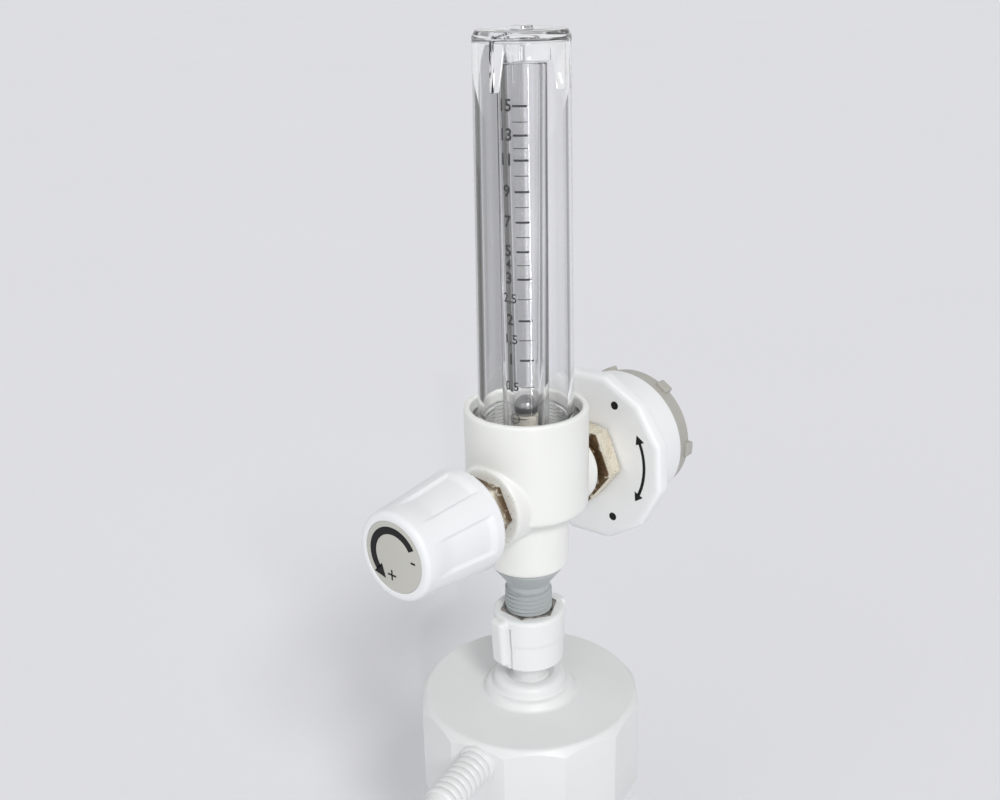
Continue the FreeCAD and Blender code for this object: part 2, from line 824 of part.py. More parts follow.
def make_valve_body():
    """Painted brass body: cup for the column, neck, two bosses and the gas ways inside."""
    body = new_body("valve_body")
    top = S.body_height
    axis = top - S.axis_drop
    floor = top - S.cup_depth
    lower = floor - S.pocket_depth
    shoulder = S.neck_height + S.shoulder_rise
    turn_profile(body, "body_turn", [
        (0, 0),
        (S.neck_radius - S.neck_round, 0, S.neck_round, 1),
        (S.neck_radius, S.neck_round),
        (S.neck_radius, S.neck_height),
        (S.shoulder_radius, shoulder),
        (S.body_radius, shoulder + S.shoulder_slope),
        (S.body_radius, top - S.rim_round, S.rim_round, 1),
        (S.body_radius - S.rim_round, top),
        (0, top),
    ])
    front = new_sketch(body, "front_boss")
    pad(body, circle(front, S.front_boss_radius, 0, axis), S.front_boss_reach)
    rear = new_sketch(body, "rear_boss")
    pad(body, circle(rear, S.rear_boss_radius, 0, axis), S.rear_boss_reach, reverse=True)
    document.recompute()

    pocket_radius = S.tube_radius + S.fixed_gap * 2
    turn_profile(body, "body_cup", [
        (0, axis),
        (S.channel_radius, axis),
        (S.channel_radius, lower),
        (pocket_radius, lower),
        (pocket_radius, floor),
        (S.rim_radius, floor),
        (S.rim_radius, top - S.rim_round, S.rim_round, -1),
        (S.rim_radius + S.rim_round, top),
        (S.rim_radius + S.rim_round, top + BEYOND),
        (0, top + BEYOND),
    ], cut=True)
    shank_hole = S.outlet_shank_radius + S.fixed_gap
    chamber_top = S.outlet_shank_length + S.neck_chamber
    turn_profile(body, "body_neck_bore", [
        (0, -as_size(BEYOND)),
        (S.outlet_seal_radius + S.fixed_gap, -as_size(BEYOND)),
        (S.outlet_seal_radius + S.fixed_gap, S.outlet_seal_thickness),
        (shank_hole, S.outlet_seal_thickness),
        (shank_hole, chamber_top),
        (0, chamber_top),
    ], cut=True)

    gland_floor = S.front_boss_reach - S.gland_shank
    recess_floor = gland_floor - S.spindle_recess
    orifice_end = S.seat_plane + S.orifice_length
    turn_across(body, "body_front_bore", axis, [
        (-(S.front_boss_reach + BEYOND), 0),
        (-(S.front_boss_reach + BEYOND), S.gland_shank_radius + S.fixed_gap),
        (-gland_floor, S.gland_shank_radius + S.fixed_gap),
        (-gland_floor, S.spindle_flange_radius + S.running_gap * 3),
        (-recess_floor, S.spindle_flange_radius + S.running_gap * 3),
        (-recess_floor, 0),
    ])
    guide_hole = S.guide_side / 2 + S.running_gap
    guide = new_sketch(body, "body_guide", "XZ_Plane", recess_floor)
    outline(guide, [
        (-guide_hole, axis - guide_hole),
        (guide_hole, axis - guide_hole),
        (guide_hole, axis + guide_hole),
        (-guide_hole, axis + guide_hole),
    ])
    pocket(body, guide, recess_floor + S.seat_plane)
    inlet_floor = S.rear_boss_reach - S.inlet_shank - S.moving_gap
    turn_across(body, "body_rear_bore", axis, [
        (S.seat_plane - BEYOND, 0),
        (S.seat_plane - BEYOND, S.orifice_radius),
        (orifice_end, S.orifice_radius),
        (orifice_end, S.inlet_passage_radius),
        (inlet_floor, S.inlet_passage_radius),
        (inlet_floor, S.inlet_shank_radius + S.fixed_gap),
        (S.rear_boss_reach + BEYOND, S.inlet_shank_radius + S.fixed_gap),
        (S.rear_boss_reach + BEYOND, 0),
    ])
    down = new_sketch(body, "body_passage_down", "XY_Plane", floor)
    circle(down, S.passage_radius, S.passage_offset, 0)
    pocket(body, down, floor - S.passage_height)
    cross = new_sketch(body, "body_passage_across", "YZ_Plane")
    circle(cross, S.passage_radius, 0, S.passage_height)
    pocket(body, cross, S.passage_offset, reverse=True)
    return place(body, neck_bottom)


def make_shroud_seal():
    ring = flat_ring("shroud_seal", S.shroud_seal_bore, S.shroud_flange_radius,
                     S.shroud_seal_thickness)
    return place(ring, cup_floor)


def make_shroud():
    """Clear outer column: screw flange, drafted wall, closed top and three centring ribs."""
    body = new_body("shroud")
    rim = S.cup_depth - S.shroud_seal_thickness
    top = shroud_height
    inner_bottom = S.shroud_rim_radius - S.shroud_wall
    inner_top = S.shroud_top_radius - S.shroud_wall
    ceiling = top - S.shroud_ceiling
    turn_profile(body, "shroud_turn", [
        (inner_bottom, 0),
        (S.shroud_flange_radius, 0),
        (S.shroud_flange_radius, S.shroud_flange_height),
        (S.shroud_rim_radius, S.shroud_flange_height),
        (S.shroud_rim_radius, rim),
        (S.shroud_top_radius, top - S.shroud_chamfer_height),
        (S.shroud_top_radius - S.shroud_chamfer, top),
        (S.gate_radius, top),
        (S.gate_radius, top + S.gate_height),
        (0, top + S.gate_height),
        (0, ceiling),
        (inner_top, ceiling),
    ])
    mouth = tube_top - shroud_bottom + S.moving_gap
    rib_wall = inner_top + S.shroud_wall / 2
    rib = new_sketch(body, "shroud_rib")
    outline(rib, [
        (S.rib_inner_radius, mouth - S.moving_gap - S.rib_drop),
        (rib_wall, mouth - S.moving_gap - S.rib_drop),
        (rib_wall, ceiling + S.shroud_ceiling / 2),
        (S.rib_stop_radius, ceiling + S.shroud_ceiling / 2),
        (S.rib_stop_radius, mouth),
        (S.rib_inner_radius, mouth),
    ])
    rib_pad = pad(body, rib, S.rib_thickness, midplane=True)
    around(body, [rib_pad], as_size(3), "shroud_ribs")
    return place(body, shroud_bottom, spin=as_size(-90))


def make_tube_seal():
    ring = flat_ring("tube_seal", S.tube_seal_bore, S.tube_radius, S.tube_seal_thickness)
    return place(ring, pocket_floor)


def make_flow_tube():
    """Thick clear tube whose bore widens upwards, so that the ball floats by the flow."""
    body = new_body("flow_tube")
    taper_start = S.seat_height - S.seat_cone
    edge = 0.5
    turn_profile(body, "tube_turn", [
        (S.tube_lower_bore, 0),
        (S.tube_radius, 0),
        (S.tube_radius, S.tube_height - edge),
        (S.tube_radius - edge, S.tube_height),
        (S.tube_upper_bore, S.tube_height),
        (S.tube_lower_bore, taper_start),
    ])
    return place(body, tube_bottom)


def make_ball_seat():
    """Pale bush in the tube's foot with a conical seat for the ball."""
    body = new_body("ball_seat")
    radius = S.tube_lower_bore - S.fixed_gap
    turn_profile(body, "seat_turn", [
        (S.seat_bore, 0),
        (radius, 0),
        (radius, S.seat_height),
        (S.seat_lip, S.seat_height),
        (S.seat_bore, S.seat_height - S.seat_cone),
    ])
    return place(body, tube_bottom)


def ball_height():
    """Centre of the ball where it touches the seat's 45 degree cone."""
    touch = S.ball_radius * math.sqrt(2)
    return tube_bottom + S.seat_height - S.seat_lip + touch + S.fixed_gap / 2


def make_float_ball():
    ball = document.addObject("Part::Sphere", "float_ball")
    ball.Label = "float_ball"
    ball.setExpression("Radius", S.ball_radius.formula)
    return place(ball, ball_height())


def hex_head(body, label, corner_radius, low, thickness, bevel):
    sides = new_sketch(body, f"{label}_sides", "XY_Plane", low)
    pad(body, polygon(sides, corner_radius, 6), thickness)
    bevel_corners(body, f"{label}_bevel", corner_radius, low + thickness, bevel)


def make_gland_nut():
    """Hexagon nut in the front boss that holds the turning spindle."""
    body = new_body("gland_nut")
    start = S.front_boss_reach - S.gland_shank
    bore = S.spindle_radius + S.running_gap
    hex_head(body, "gland", S.gland_corner_radius, S.front_boss_reach, S.gland_head, S.gland_bevel)
    turn_profile(body, "gland_shank_turn", [
        (0, start),
        (S.gland_shank_radius, start),
        (S.gland_shank_radius, S.front_boss_reach + BEYOND),
        (0, S.front_boss_reach + BEYOND),
    ])
    turn_profile(body, "gland_bore", [
        (0, start - BEYOND),
        (bore, start - BEYOND),
        (bore, S.front_boss_reach + S.gland_head + BEYOND),
        (0, S.front_boss_reach + S.gland_head + BEYOND),
    ], cut=True)
    return place(body, axis_height, FRONT, spin=S.gland_turn)


def make_spindle():
    """Brass spindle that turns with the knob; its inner thread draws the needle."""
    body = new_body("spindle")
    start = S.front_boss_reach - S.gland_shank - S.spindle_flange - S.moving_gap
    flange_end = start + S.spindle_flange
    groove = S.spindle_seal_at
    groove_width = S.spindle_seal_wire * 2 + S.running_gap * 2
    turn_profile(body, "spindle_turn", [
        (S.spindle_bore, start),
        (S.spindle_flange_radius, start),
        (S.spindle_flange_radius, flange_end),
        (S.spindle_radius, flange_end),
        (S.spindle_radius, groove),
        (S.spindle_groove_radius, groove),
        (S.spindle_groove_radius, groove + groove_width),
        (S.spindle_radius, groove + groove_width),
        (S.spindle_radius, S.spindle_reach),
        (S.screw_radius + S.fixed_gap, S.spindle_reach),
        (S.screw_radius + S.fixed_gap, S.spindle_reach - S.screw_length),
        (0, S.spindle_reach - S.screw_length),
        (0, S.spindle_bore_reach),
        (S.spindle_bore, S.spindle_bore_reach),
    ])
    return place(body, axis_height, FRONT)


def make_spindle_seal():
    wire = S.spindle_seal_wire
    ring = o_ring("spindle_seal", S.spindle_groove_radius + S.fixed_gap, wire,
                  S.spindle_seal_at + S.running_gap + wire)
    return place(ring, axis_height, FRONT)


def make_needle():
    """Needle with a fine cone into the seat, a square guide and a threaded tail."""
    body = new_body("needle")
    seat = -S.seat_plane
    mouth_radius = S.orifice_radius - S.running_gap
    turn_profile(body, "needle_turn", [
        (0, seat - S.needle_tip_reach),
        (S.needle_tip_radius, seat - S.needle_tip_reach),
        (mouth_radius, seat),
        (S.needle_radius, seat + S.needle_cone),
        (S.needle_radius, S.needle_reach),
        (0, S.needle_reach),
    ])
    half = S.guide_side / 2
    guide = new_sketch(body, "needle_guide", "XY_Plane", S.guide_start)
    outline(guide, [(-half, -half), (half, -half), (half, half), (-half, half)])
    pad(body, guide, S.guide_length)
    return place(body, axis_height, FRONT)


def knob_radius_at(height):
    fall = S.knob_back_radius - S.knob_front_radius
    return S.knob_back_radius - fall * (height - S.knob_back) / S.knob_length


def make_control_knob():
    """Tapered white knob, hollow from behind, with shallow grip recesses around it."""
    body = new_body("control_knob")
    back = S.knob_back
    front = back + S.knob_length
    recess = front - S.label_thickness - S.label_sink
    well_floor = S.spindle_reach + S.screw_web
    bore = S.spindle_radius + S.fixed_gap
    edge = S.knob_front_round
    turn_profile(body, "knob_turn", [
        (bore, S.knob_hub_back),
        (S.knob_hub_radius, S.knob_hub_back),
        (S.knob_hub_radius, S.knob_cavity_top),
        (S.knob_cavity_top_radius, S.knob_cavity_top),
        (S.knob_cavity_radius, back),
        (S.knob_back_radius - S.knob_back_round, back, S.knob_back_round, 1),
        (S.knob_back_radius, back + S.knob_back_round),
        (knob_radius_at(front - edge), front - edge, edge, 1),
        (knob_radius_at(front - edge) - edge, front),
        (S.label_radius + S.fixed_gap, front),
        (S.label_radius + S.fixed_gap, recess),
        (S.screw_well_radius, recess),
        (S.screw_well_radius, well_floor),
        (S.screw_radius + S.fixed_gap, well_floor),
        (S.screw_radius + S.fixed_gap, S.spindle_reach + S.fixed_gap),
        (bore, S.spindle_reach + S.fixed_gap),
    ])
    low = back + S.grip_start
    high = back + S.grip_end
    recess_cut = turn_profile(body, "knob_grip", [
        (knob_radius_at(low) - S.grip_depth, low),
        (knob_radius_at(low) + BEYOND, low),
        (knob_radius_at(high) + BEYOND, high),
        (knob_radius_at(high) - S.grip_depth, high),
    ], cut=True, angle=S.grip_angle.value, midplane=True)
    recess_cut.setExpression("Angle", S.grip_angle.formula)
    around(body, [recess_cut], S.grip_count, "knob_grips")
    return place(body, axis_height, FRONT, spin=S.grip_turn)


def make_knob_screw():
    body = new_body("knob_screw")
    seat = S.spindle_reach + S.screw_web
    slot = 0.6
    turn_profile(body, "screw_turn", [
        (0, S.spindle_reach - S.screw_length + BEYOND),
        (S.screw_radius, S.spindle_reach - S.screw_length + BEYOND),
        (S.screw_radius, seat),
        (S.screw_head_radius, seat),
        (S.screw_head_radius, seat + S.screw_head),
        (0, seat + S.screw_head),
    ])
    cross = new_sketch(body, "screw_slot", "XY_Plane", seat + S.screw_head)
    outline(cross, [
        (-S.screw_head_radius, -slot / 2),
        (S.screw_head_radius, -slot / 2),
        (S.screw_head_radius, slot / 2),
        (-S.screw_head_radius, slot / 2),
    ])
    pocket(body, cross, S.screw_head / 2)
    return place(body, axis_height, FRONT)


def make_knob_label():
    disc = document.addObject("Part::Cylinder", "knob_label")
    disc.Label = "knob_label"
    disc.setExpression("Radius", S.label_radius.formula)
    disc.setExpression("Height", S.label_thickness.formula)
    reach = S.knob_back + S.knob_length - S.label_thickness - S.label_sink
    return place(disc, axis_height, FRONT, reach=-reach)


def make_inlet_nut():
    """Nickel-plated hexagon fitting that joins the probe to the body's rear boss."""
    body = new_body("inlet_nut")
    start = S.rear_boss_reach - S.inlet_shank
    head = S.rear_boss_reach + S.inlet_neck
    end = head + S.inlet_head
    socket = S.inlet_shank_radius + S.fixed_gap
    hex_head(body, "inlet", S.inlet_corner_radius, head, S.inlet_head, S.inlet_bevel)
    turn_profile(body, "inlet_turn", [
        (0, start),
        (S.inlet_shank_radius, start),
        (S.inlet_shank_radius, S.rear_boss_reach),
        (S.inlet_neck_radius, S.rear_boss_reach),
        (S.inlet_neck_radius, head + BEYOND),
        (0, head + BEYOND),
    ])
    turn_profile(body, "inlet_way", [
        (0, start - BEYOND),
        (S.inlet_passage_radius, start - BEYOND),
        (S.inlet_passage_radius, filter_start),
        (S.inlet_bore, filter_start),
        (S.inlet_bore, end - S.inlet_socket),
        (socket, end - S.inlet_socket),
        (socket, end + BEYOND),
        (0, end + BEYOND),
    ], cut=True)
    return place(body, axis_height, REAR, spin=S.inlet_turn)


def make_inlet_filter():
    plug = document.addObject("Part::Cylinder", "inlet_filter")
    plug.Label = "inlet_filter"
    plug.setExpression("Radius", (S.inlet_bore - S.fixed_gap).formula)
    plug.setExpression("Height", S.filter_length.formula)
    return place(plug, axis_height, REAR, reach=filter_start)


def collar_start():
    return S.rear_boss_reach + S.inlet_neck + S.inlet_head + S.moving_gap


def edges_at(shape, test):
    """Names of the edges whose middle point passes a test."""
    names = []
    for number, edge in enumerate(shape.Edges, start=1):
        if test(edge.CenterOfMass, edge):
            names.append(f"Edge{number}")
    return names


def make_locking_collar():
    """Twelve-sided white collar and its sleeve, turned by hand to release the probe."""
    body = new_body("locking_collar")
    start = collar_start()
    flange_end = start + S.collar_thickness
    end = flange_end + S.sleeve_length
    sides = new_sketch(body, "collar_sides", "XY_Plane", start)
    plate = pad(body, polygon(sides, S.collar_corner_radius, 12), S.collar_thickness)
    document.recompute()
    flat = S.collar_corner_radius.value * math.cos(math.radians(15))

    def on_rim(middle, edge):
        level = (abs(middle.z - start.value) < 1e-4 or abs(middle.z - flange_end.value) < 1e-4)
        return level and abs(math.hypot(middle.x, middle.y) - flat) < 1e-3

    bevel = body.newObject("PartDesign::Chamfer", "collar_bevel_edges")
    bevel.Base = (plate, edges_at(plate.Shape, on_rim))
    bevel.setExpression("Size", S.collar_bevel.formula)
    document.recompute()
    turn_profile(body, "collar_sleeve", [
        (0, flange_end - BEYOND),
        (S.sleeve_radius, flange_end - BEYOND),
        (S.sleeve_radius, end),
        (0, end),
    ])
    rod_hole = S.stem_rod_radius + S.moving_gap
    inner = S.sleeve_radius - S.sleeve_wall
    turn_profile(body, "collar_bore", [
        (0, start - BEYOND),
        (rod_hole, start - BEYOND),
        (rod_hole, flange_end),
        (inner, flange_end),
        (inner, end + BEYOND),
        (0, end + BEYOND),
    ], cut=True)
    return place(body, axis_height, REAR, spin=S.collar_turn)


def make_bayonet_ring():
    """Grey ring at the sleeve's end whose lugs lock into the wall outlet."""
    body = new_body("bayonet_ring")
    start = collar_start() + S.collar_thickness + S.sleeve_length
    end = start + S.ring_length
    spigot = S.sleeve_radius - S.sleeve_wall - S.fixed_gap
    turn_profile(body, "ring_turn", [
        (S.ring_bore, start - S.ring_spigot),
        (spigot, start - S.ring_spigot),
        (spigot, start),
        (S.ring_front_radius, start),
        (S.ring_back_radius, end),
        (S.stem_rod_radius + S.moving_gap, end),
        (S.stem_rod_radius + S.moving_gap, end - S.ring_web),
        (S.ring_bore, end - S.ring_web),
    ])
    half = S.lug_width / 2
    lug = new_sketch(body, "ring_lug", "XY_Plane", end - S.lug_length)
    outline(lug, [
        (S.ring_bore + BEYOND, -half),
        (S.ring_back_radius + S.lug_rise, -half * 0.8),
        (S.ring_back_radius + S.lug_rise, half * 0.8),
        (S.ring_bore + BEYOND, half),
    ])
    lug_pad = pad(body, lug, S.lug_length)
    around(body, [lug_pad], S.lug_count, "ring_lugs")
    return place(body, axis_height, REAR, spin=S.lug_turn)


def make_probe_stem():
    """Plated rod of the probe: circlip groove, nose and the seal's groove."""
    body = new_body("probe_stem")
    nut_end = S.rear_boss_reach + S.inlet_neck + S.inlet_head
    start = nut_end - S.inlet_socket + S.fixed_gap
    clip = collar_start() + S.collar_thickness + S.moving_gap
    clip_end = clip + S.circlip_thickness + S.fixed_gap * 2
    groove = S.nose_groove_at
    groove_end = groove + S.nose_seal_wire * 2 + S.fixed_gap * 2
    cut = S.stem_chamfer
    turn_profile(body, "rod_turn", [
        (S.stem_bore, start),
        (S.inlet_shank_radius, start),
        (S.inlet_shank_radius, nut_end),
        (S.stem_rod_radius, nut_end),
        (S.stem_rod_radius, clip),
        (S.circlip_groove_radius, clip),
        (S.circlip_groove_radius, clip_end),
        (S.stem_rod_radius, clip_end),
        (S.stem_rod_radius, S.stem_rod_end - cut),
        (S.stem_rod_radius - cut, S.stem_rod_end),
        (S.stem_nose_radius, S.stem_rod_end),
        (S.stem_nose_radius, groove),
        (S.nose_groove_radius, groove),
        (S.nose_groove_radius, groove_end),
        (S.stem_nose_radius, groove_end),
        (S.stem_nose_radius, S.stem_nose_end - cut),
        (S.stem_nose_radius - cut, S.stem_nose_end),
        (S.stem_bore, S.stem_nose_end),
    ])
    return place(body, axis_height, REAR)


def make_collar_circlip():
    """Open spring ring that keeps the collar on the rod."""
    body = new_body("collar_circlip")
    start = collar_start() + S.collar_thickness + S.moving_gap + S.fixed_gap
    turn_profile(body, "circlip_turn", [
        (S.circlip_groove_radius + S.fixed_gap, start),
        (S.circlip_radius, start),
        (S.circlip_radius, start + S.circlip_thickness),
        (S.circlip_groove_radius + S.fixed_gap, start + S.circlip_thickness),
    ])
    half = S.circlip_mouth / 2
    mouth = new_sketch(body, "circlip_mouth", "XY_Plane", start + S.circlip_thickness)
    outline(mouth, [
        (0, -half),
        (S.circlip_radius + BEYOND, -half),
        (S.circlip_radius + BEYOND, half),
        (0, half),
    ])
    pocket(body, mouth, S.circlip_thickness)
    return place(body, axis_height, REAR)


def make_probe_seal():
    wire = S.nose_seal_wire
    ring = o_ring("probe_seal", S.nose_groove_radius + S.fixed_gap, wire,
                  S.nose_groove_at + S.fixed_gap + wire)
    return place(ring, axis_height, REAR)


pieces = [
    make_jar(),
    make_lid_gasket(),
    make_lid(),
    make_dip_tube(),
    make_diffuser(),
    make_inlet_nipple(),
    make_nipple_washer(),
    make_wing_nut(),
    make_wing_nut_insert(),
    make_outlet_fitting(),
    make_outlet_seal(),
    make_valve_body(),
    make_shroud_seal(),
    make_shroud(),
    make_tube_seal(),
    make_flow_tube(),
    make_ball_seat(),
    make_float_ball(),
    make_gland_nut(),
    make_spindle(),
    make_spindle_seal(),
    make_needle(),
    make_control_knob(),
    make_knob_screw(),
    make_knob_label(),
    make_inlet_nut(),
    make_inlet_filter(),
    make_locking_collar(),
    make_bayonet_ring(),
    make_probe_stem(),
    make_collar_circlip(),
    make_probe_seal(),
]
document.recompute()

# Stop before anything is written if a feature failed or a piece is not one sound solid
for item in document.Objects:
    if "Invalid" in item.State or "Error" in item.State:
        raise RuntimeError(f"{item.Label} failed: {item.State}")
for piece in pieces:
    shape = piece.Shape
    if shape.isNull() or not shape.isValid() or len(shape.Solids) != 1:
        raise RuntimeError(f"{piece.Label} is not one valid solid")

os.makedirs("parts", exist_ok=True)
for piece in pieces:
    piece.Shape.exportStep(f"parts/{piece.Label}.step")
    box = piece.Shape.BoundBox
    print(f"{piece.Label}: {piece.Shape.Volume:.1f} mm3, z {box.ZMin:.2f} to {box.ZMax:.2f}")
print(f"{len(pieces)} pieces written")
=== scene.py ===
# %% [markdown]
# # An oxygen flowmeter on its humidifier
#
# This is the instrument that hangs from a gas outlet beside a hospital bed. Gas enters through
# the probe at the back, passes the valve under the white knob, lifts a steel ball in the clear
# column and leaves downwards through water in the jar. The measured solids come first, as a frame
# that says where every piece sits. They could be shown as they are, but moulded plastic, cast
# paint and clear tubes need softer edges and truer surfaces, so most outer pieces are modelled
# again on top.

# %% Load the measured frame
import math

import bmesh
import bpy
from mathutils import Matrix, Vector


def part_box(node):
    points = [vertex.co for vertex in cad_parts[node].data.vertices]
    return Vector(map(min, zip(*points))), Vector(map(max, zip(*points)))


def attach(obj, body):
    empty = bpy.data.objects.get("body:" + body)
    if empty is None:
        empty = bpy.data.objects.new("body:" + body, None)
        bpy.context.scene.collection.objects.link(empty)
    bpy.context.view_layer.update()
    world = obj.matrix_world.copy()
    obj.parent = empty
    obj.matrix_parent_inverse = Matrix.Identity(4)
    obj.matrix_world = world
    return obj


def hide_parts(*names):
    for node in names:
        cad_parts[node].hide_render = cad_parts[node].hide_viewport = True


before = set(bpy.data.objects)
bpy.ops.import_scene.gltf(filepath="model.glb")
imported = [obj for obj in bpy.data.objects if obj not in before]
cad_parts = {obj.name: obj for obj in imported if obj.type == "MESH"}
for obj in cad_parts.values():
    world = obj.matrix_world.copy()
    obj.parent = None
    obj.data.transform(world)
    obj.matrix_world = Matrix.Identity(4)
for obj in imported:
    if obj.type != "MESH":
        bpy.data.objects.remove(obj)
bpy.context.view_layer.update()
bpy.ops.object.select_all(action="DESELECT")
MM = 0.001
print("measured pieces:", len(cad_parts))


# %% [markdown]
# ## Where things are
#
# Every piece that is modelled again has to sit exactly where its solid is. The heights could be
# typed in, but reading them from the boxes of the solids keeps both models together.

# %% Heights and axes in millimetres
def low(node):
    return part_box(node)[0].z / MM


def high(node):
    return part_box(node)[1].z / MM


lid_base = low("lid")
nut_base = low("wing_nut")
outlet_base = low("outlet_fitting")
body_base = low("valve_body")
rim = high("valve_body")
knob_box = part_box("control_knob")
axis = (knob_box[0].z + knob_box[1].z) / 2 / MM
ball_centre = (low("float_ball") + high("float_ball")) / 2
print("rim", round(rim, 2), "axis", round(axis, 2), "ball", round(ball_centre, 2))


# %% [markdown]
# ## The lathe
#
# Nearly everything here is round: the body, the column, the knob, the lid. A round piece could be
# a stack of cylinders, but then every edge stays hard. Instead its half outline is drawn from a
# single vertex, corner by corner, with the corners rounded first, and spun round the upright
# axis.

# %% Draw a half outline and spin it
def alone(piece):
    bpy.ops.object.select_all(action="DESELECT")
    piece.select_set(True)
    bpy.context.view_layer.objects.active = piece


def rounded(corners, steps=6):
    """Corners as (radius, height) or (radius, height, rounding) become a run of points."""
    points = []
    for index, corner in enumerate(corners):
        here = Vector(corner[:2])
        if len(corner) == 2:
            points.append(here)
            continue
        before = (Vector(corners[index - 1][:2]) - here).normalized()
        after = (Vector(corners[(index + 1) % len(corners)][:2]) - here).normalized()
        half = before.angle(after) / 2
        centre = here + (before + after).normalized() * corner[2] / math.sin(half)
        start = here + before * corner[2] / math.tan(half) - centre
        end = here + after * corner[2] / math.tan(half) - centre
        sweep = start.angle(end)
        for step in range(steps + 1):
            share = step / steps
            bend = start * math.sin((1 - share) * sweep) + end * math.sin(share * sweep)
            points.append(centre + bend / math.sin(sweep))
    return points


def pencil(name, points, closed):
    """A line through points in the XZ plane, left in edit mode."""
    bpy.ops.object.select_all(action="DESELECT")
    bpy.ops.mesh.primitive_plane_add(size=MM)
    piece = bpy.context.object
    piece.name = name
    bpy.ops.object.mode_set(mode="EDIT")
    bpy.ops.mesh.merge(type="CENTER")
    bpy.ops.transform.translate(value=(points[0].x * MM, 0, points[0].y * MM))
    here = points[0]
    for point in points[1:] + (points[:1] if closed else []):
        step = (point - here) * MM
        if step.length > 1e-8:
            bpy.ops.mesh.extrude_vertices_move(
                TRANSFORM_OT_translate={"value": (step.x, 0, step.y)})
        here = point
    bpy.ops.mesh.select_all(action="SELECT")
    bpy.ops.mesh.remove_doubles(threshold=1e-7)
    return piece


def smooth_by_angle(piece, degrees=32):
    alone(piece)
    bpy.ops.object.shade_smooth_by_angle(angle=math.radians(degrees))


def turned(name, corners, closed=True, steps=128, soft=6, angle=32):
    """A round piece about the upright axis. An outline that ends on the axis isn't closed."""
    piece = pencil(name, rounded(corners, soft), closed)
    bpy.ops.mesh.select_all(action="SELECT")
    bpy.ops.mesh.spin(steps=steps, angle=math.tau, center=(0, 0, 0), axis=(0, 0, 1))
    bpy.ops.mesh.select_all(action="SELECT")
    bpy.ops.mesh.remove_doubles(threshold=1e-7)
    bpy.ops.mesh.normals_make_consistent(inside=False)
    bpy.ops.object.mode_set(mode="OBJECT")
    smooth_by_angle(piece, angle)
    return piece


# %% [markdown]
# ## Putting a piece in its place
#
# A turned piece is made upright at the origin, but the knob points at the reader and the probe at
# the wall. The object could keep that turn, yet patterns and exports want each object at the
# origin, so the turn is given once and then applied to the mesh.

# %% Stand, point forwards, point backwards
def settle(piece, matrix):
    alone(piece)
    piece.matrix_world = matrix
    bpy.ops.object.transform_apply(location=True, rotation=True, scale=True)
    return piece


def spin_matrix(degrees):
    return Matrix.Rotation(math.radians(degrees), 4, "Z")


def stand(piece, height, spin=0):
    return settle(piece, Matrix.Translation((0, 0, height * MM)) @ spin_matrix(spin))


def face_front(piece, height=axis, spin=0):
    lay = Matrix.Rotation(math.radians(90), 4, "X")
    return settle(piece, Matrix.Translation((0, 0, height * MM)) @ lay @ spin_matrix(spin))


def face_back(piece, height=axis, spin=0):
    lay = Matrix.Rotation(math.radians(-90), 4, "X")
    return settle(piece, Matrix.Translation((0, 0, height * MM)) @ lay @ spin_matrix(spin))


def prism(name, sides, corner_radius, bottom, top, spin=0):
    """An upright bar with flat sides and its first corner on +X."""
    bpy.ops.object.select_all(action="DESELECT")
    bpy.ops.mesh.primitive_cylinder_add(vertices=sides, radius=corner_radius * MM,
                                        depth=(top - bottom) * MM,
                                        location=(0, 0, (top + bottom) / 2 * MM),
                                        rotation=(0, 0, math.radians(spin - 90)))
    bpy.ops.object.transform_apply(location=True, rotation=True, scale=True)
    bpy.context.object.name = name
    return bpy.context.object


def block(size, middle):
    """A plain block with its sides along the axes, by its size and middle in millimetres."""
    bpy.ops.object.select_all(action="DESELECT")
    bpy.ops.mesh.primitive_cube_add(size=1)
    piece = bpy.context.object
    piece.scale = [side * MM for side in size]
    piece.location = [place * MM for place in middle]
    bpy.ops.object.transform_apply(location=True, rotation=False, scale=True)
    return piece


def apply_modifier(piece, kind, **settings):
    alone(piece)
    modifier = piece.modifiers.new(kind.lower(), kind)
    for key, value in settings.items():
        setattr(modifier, key, value)
    bpy.ops.object.modifier_apply(modifier=modifier.name)
    return piece


def combine(piece, tool, operation):
    """Add, cut away or keep the common part of two solids; the tool is used up."""
    apply_modifier(piece, "BOOLEAN", object=tool, operation=operation, solver="EXACT")
    bpy.data.objects.remove(tool)
    return piece


def ease_edges(piece, width, segments=3, degrees=25):
    apply_modifier(piece, "BEVEL", width=width * MM, segments=segments, limit_method="ANGLE",
                   angle_limit=math.radians(degrees), harden_normals=False)
    smooth_by_angle(piece, 40)
    return piece


def joined(name, pieces):
    bpy.ops.object.select_all(action="DESELECT")
    for piece in pieces:
        piece.select_set(True)
    bpy.context.view_layer.objects.active = pieces[0]
    bpy.ops.object.join()
    pieces[0].name = name
    return pieces[0]


# %% [markdown]
# ## How a finish is built
#
# A real surface is never one flat colour: paint has a faint orange peel, moulded plastic is a
# little cloudy, plated brass keeps its turning marks. Each finish starts from one shader, and a
# few small helpers add tone, grain and relief from noise that is measured in the object's own
# coordinates, so that nothing slides when the piece moves. Painted textures could do it too, but
# they'd need unwrapping.

# %% Helpers for tone, relief and gloss
def tone(hex_code):
    """A screen colour such as F2F3EE as the shader's linear colour."""
    channels = [int(hex_code[i:i + 2], 16) / 255 for i in (0, 2, 4)]
    linear = [c / 12.92 if c <= 0.04045 else ((c + 0.055) / 1.055) ** 2.4 for c in channels]
    return (*linear, 1.0)


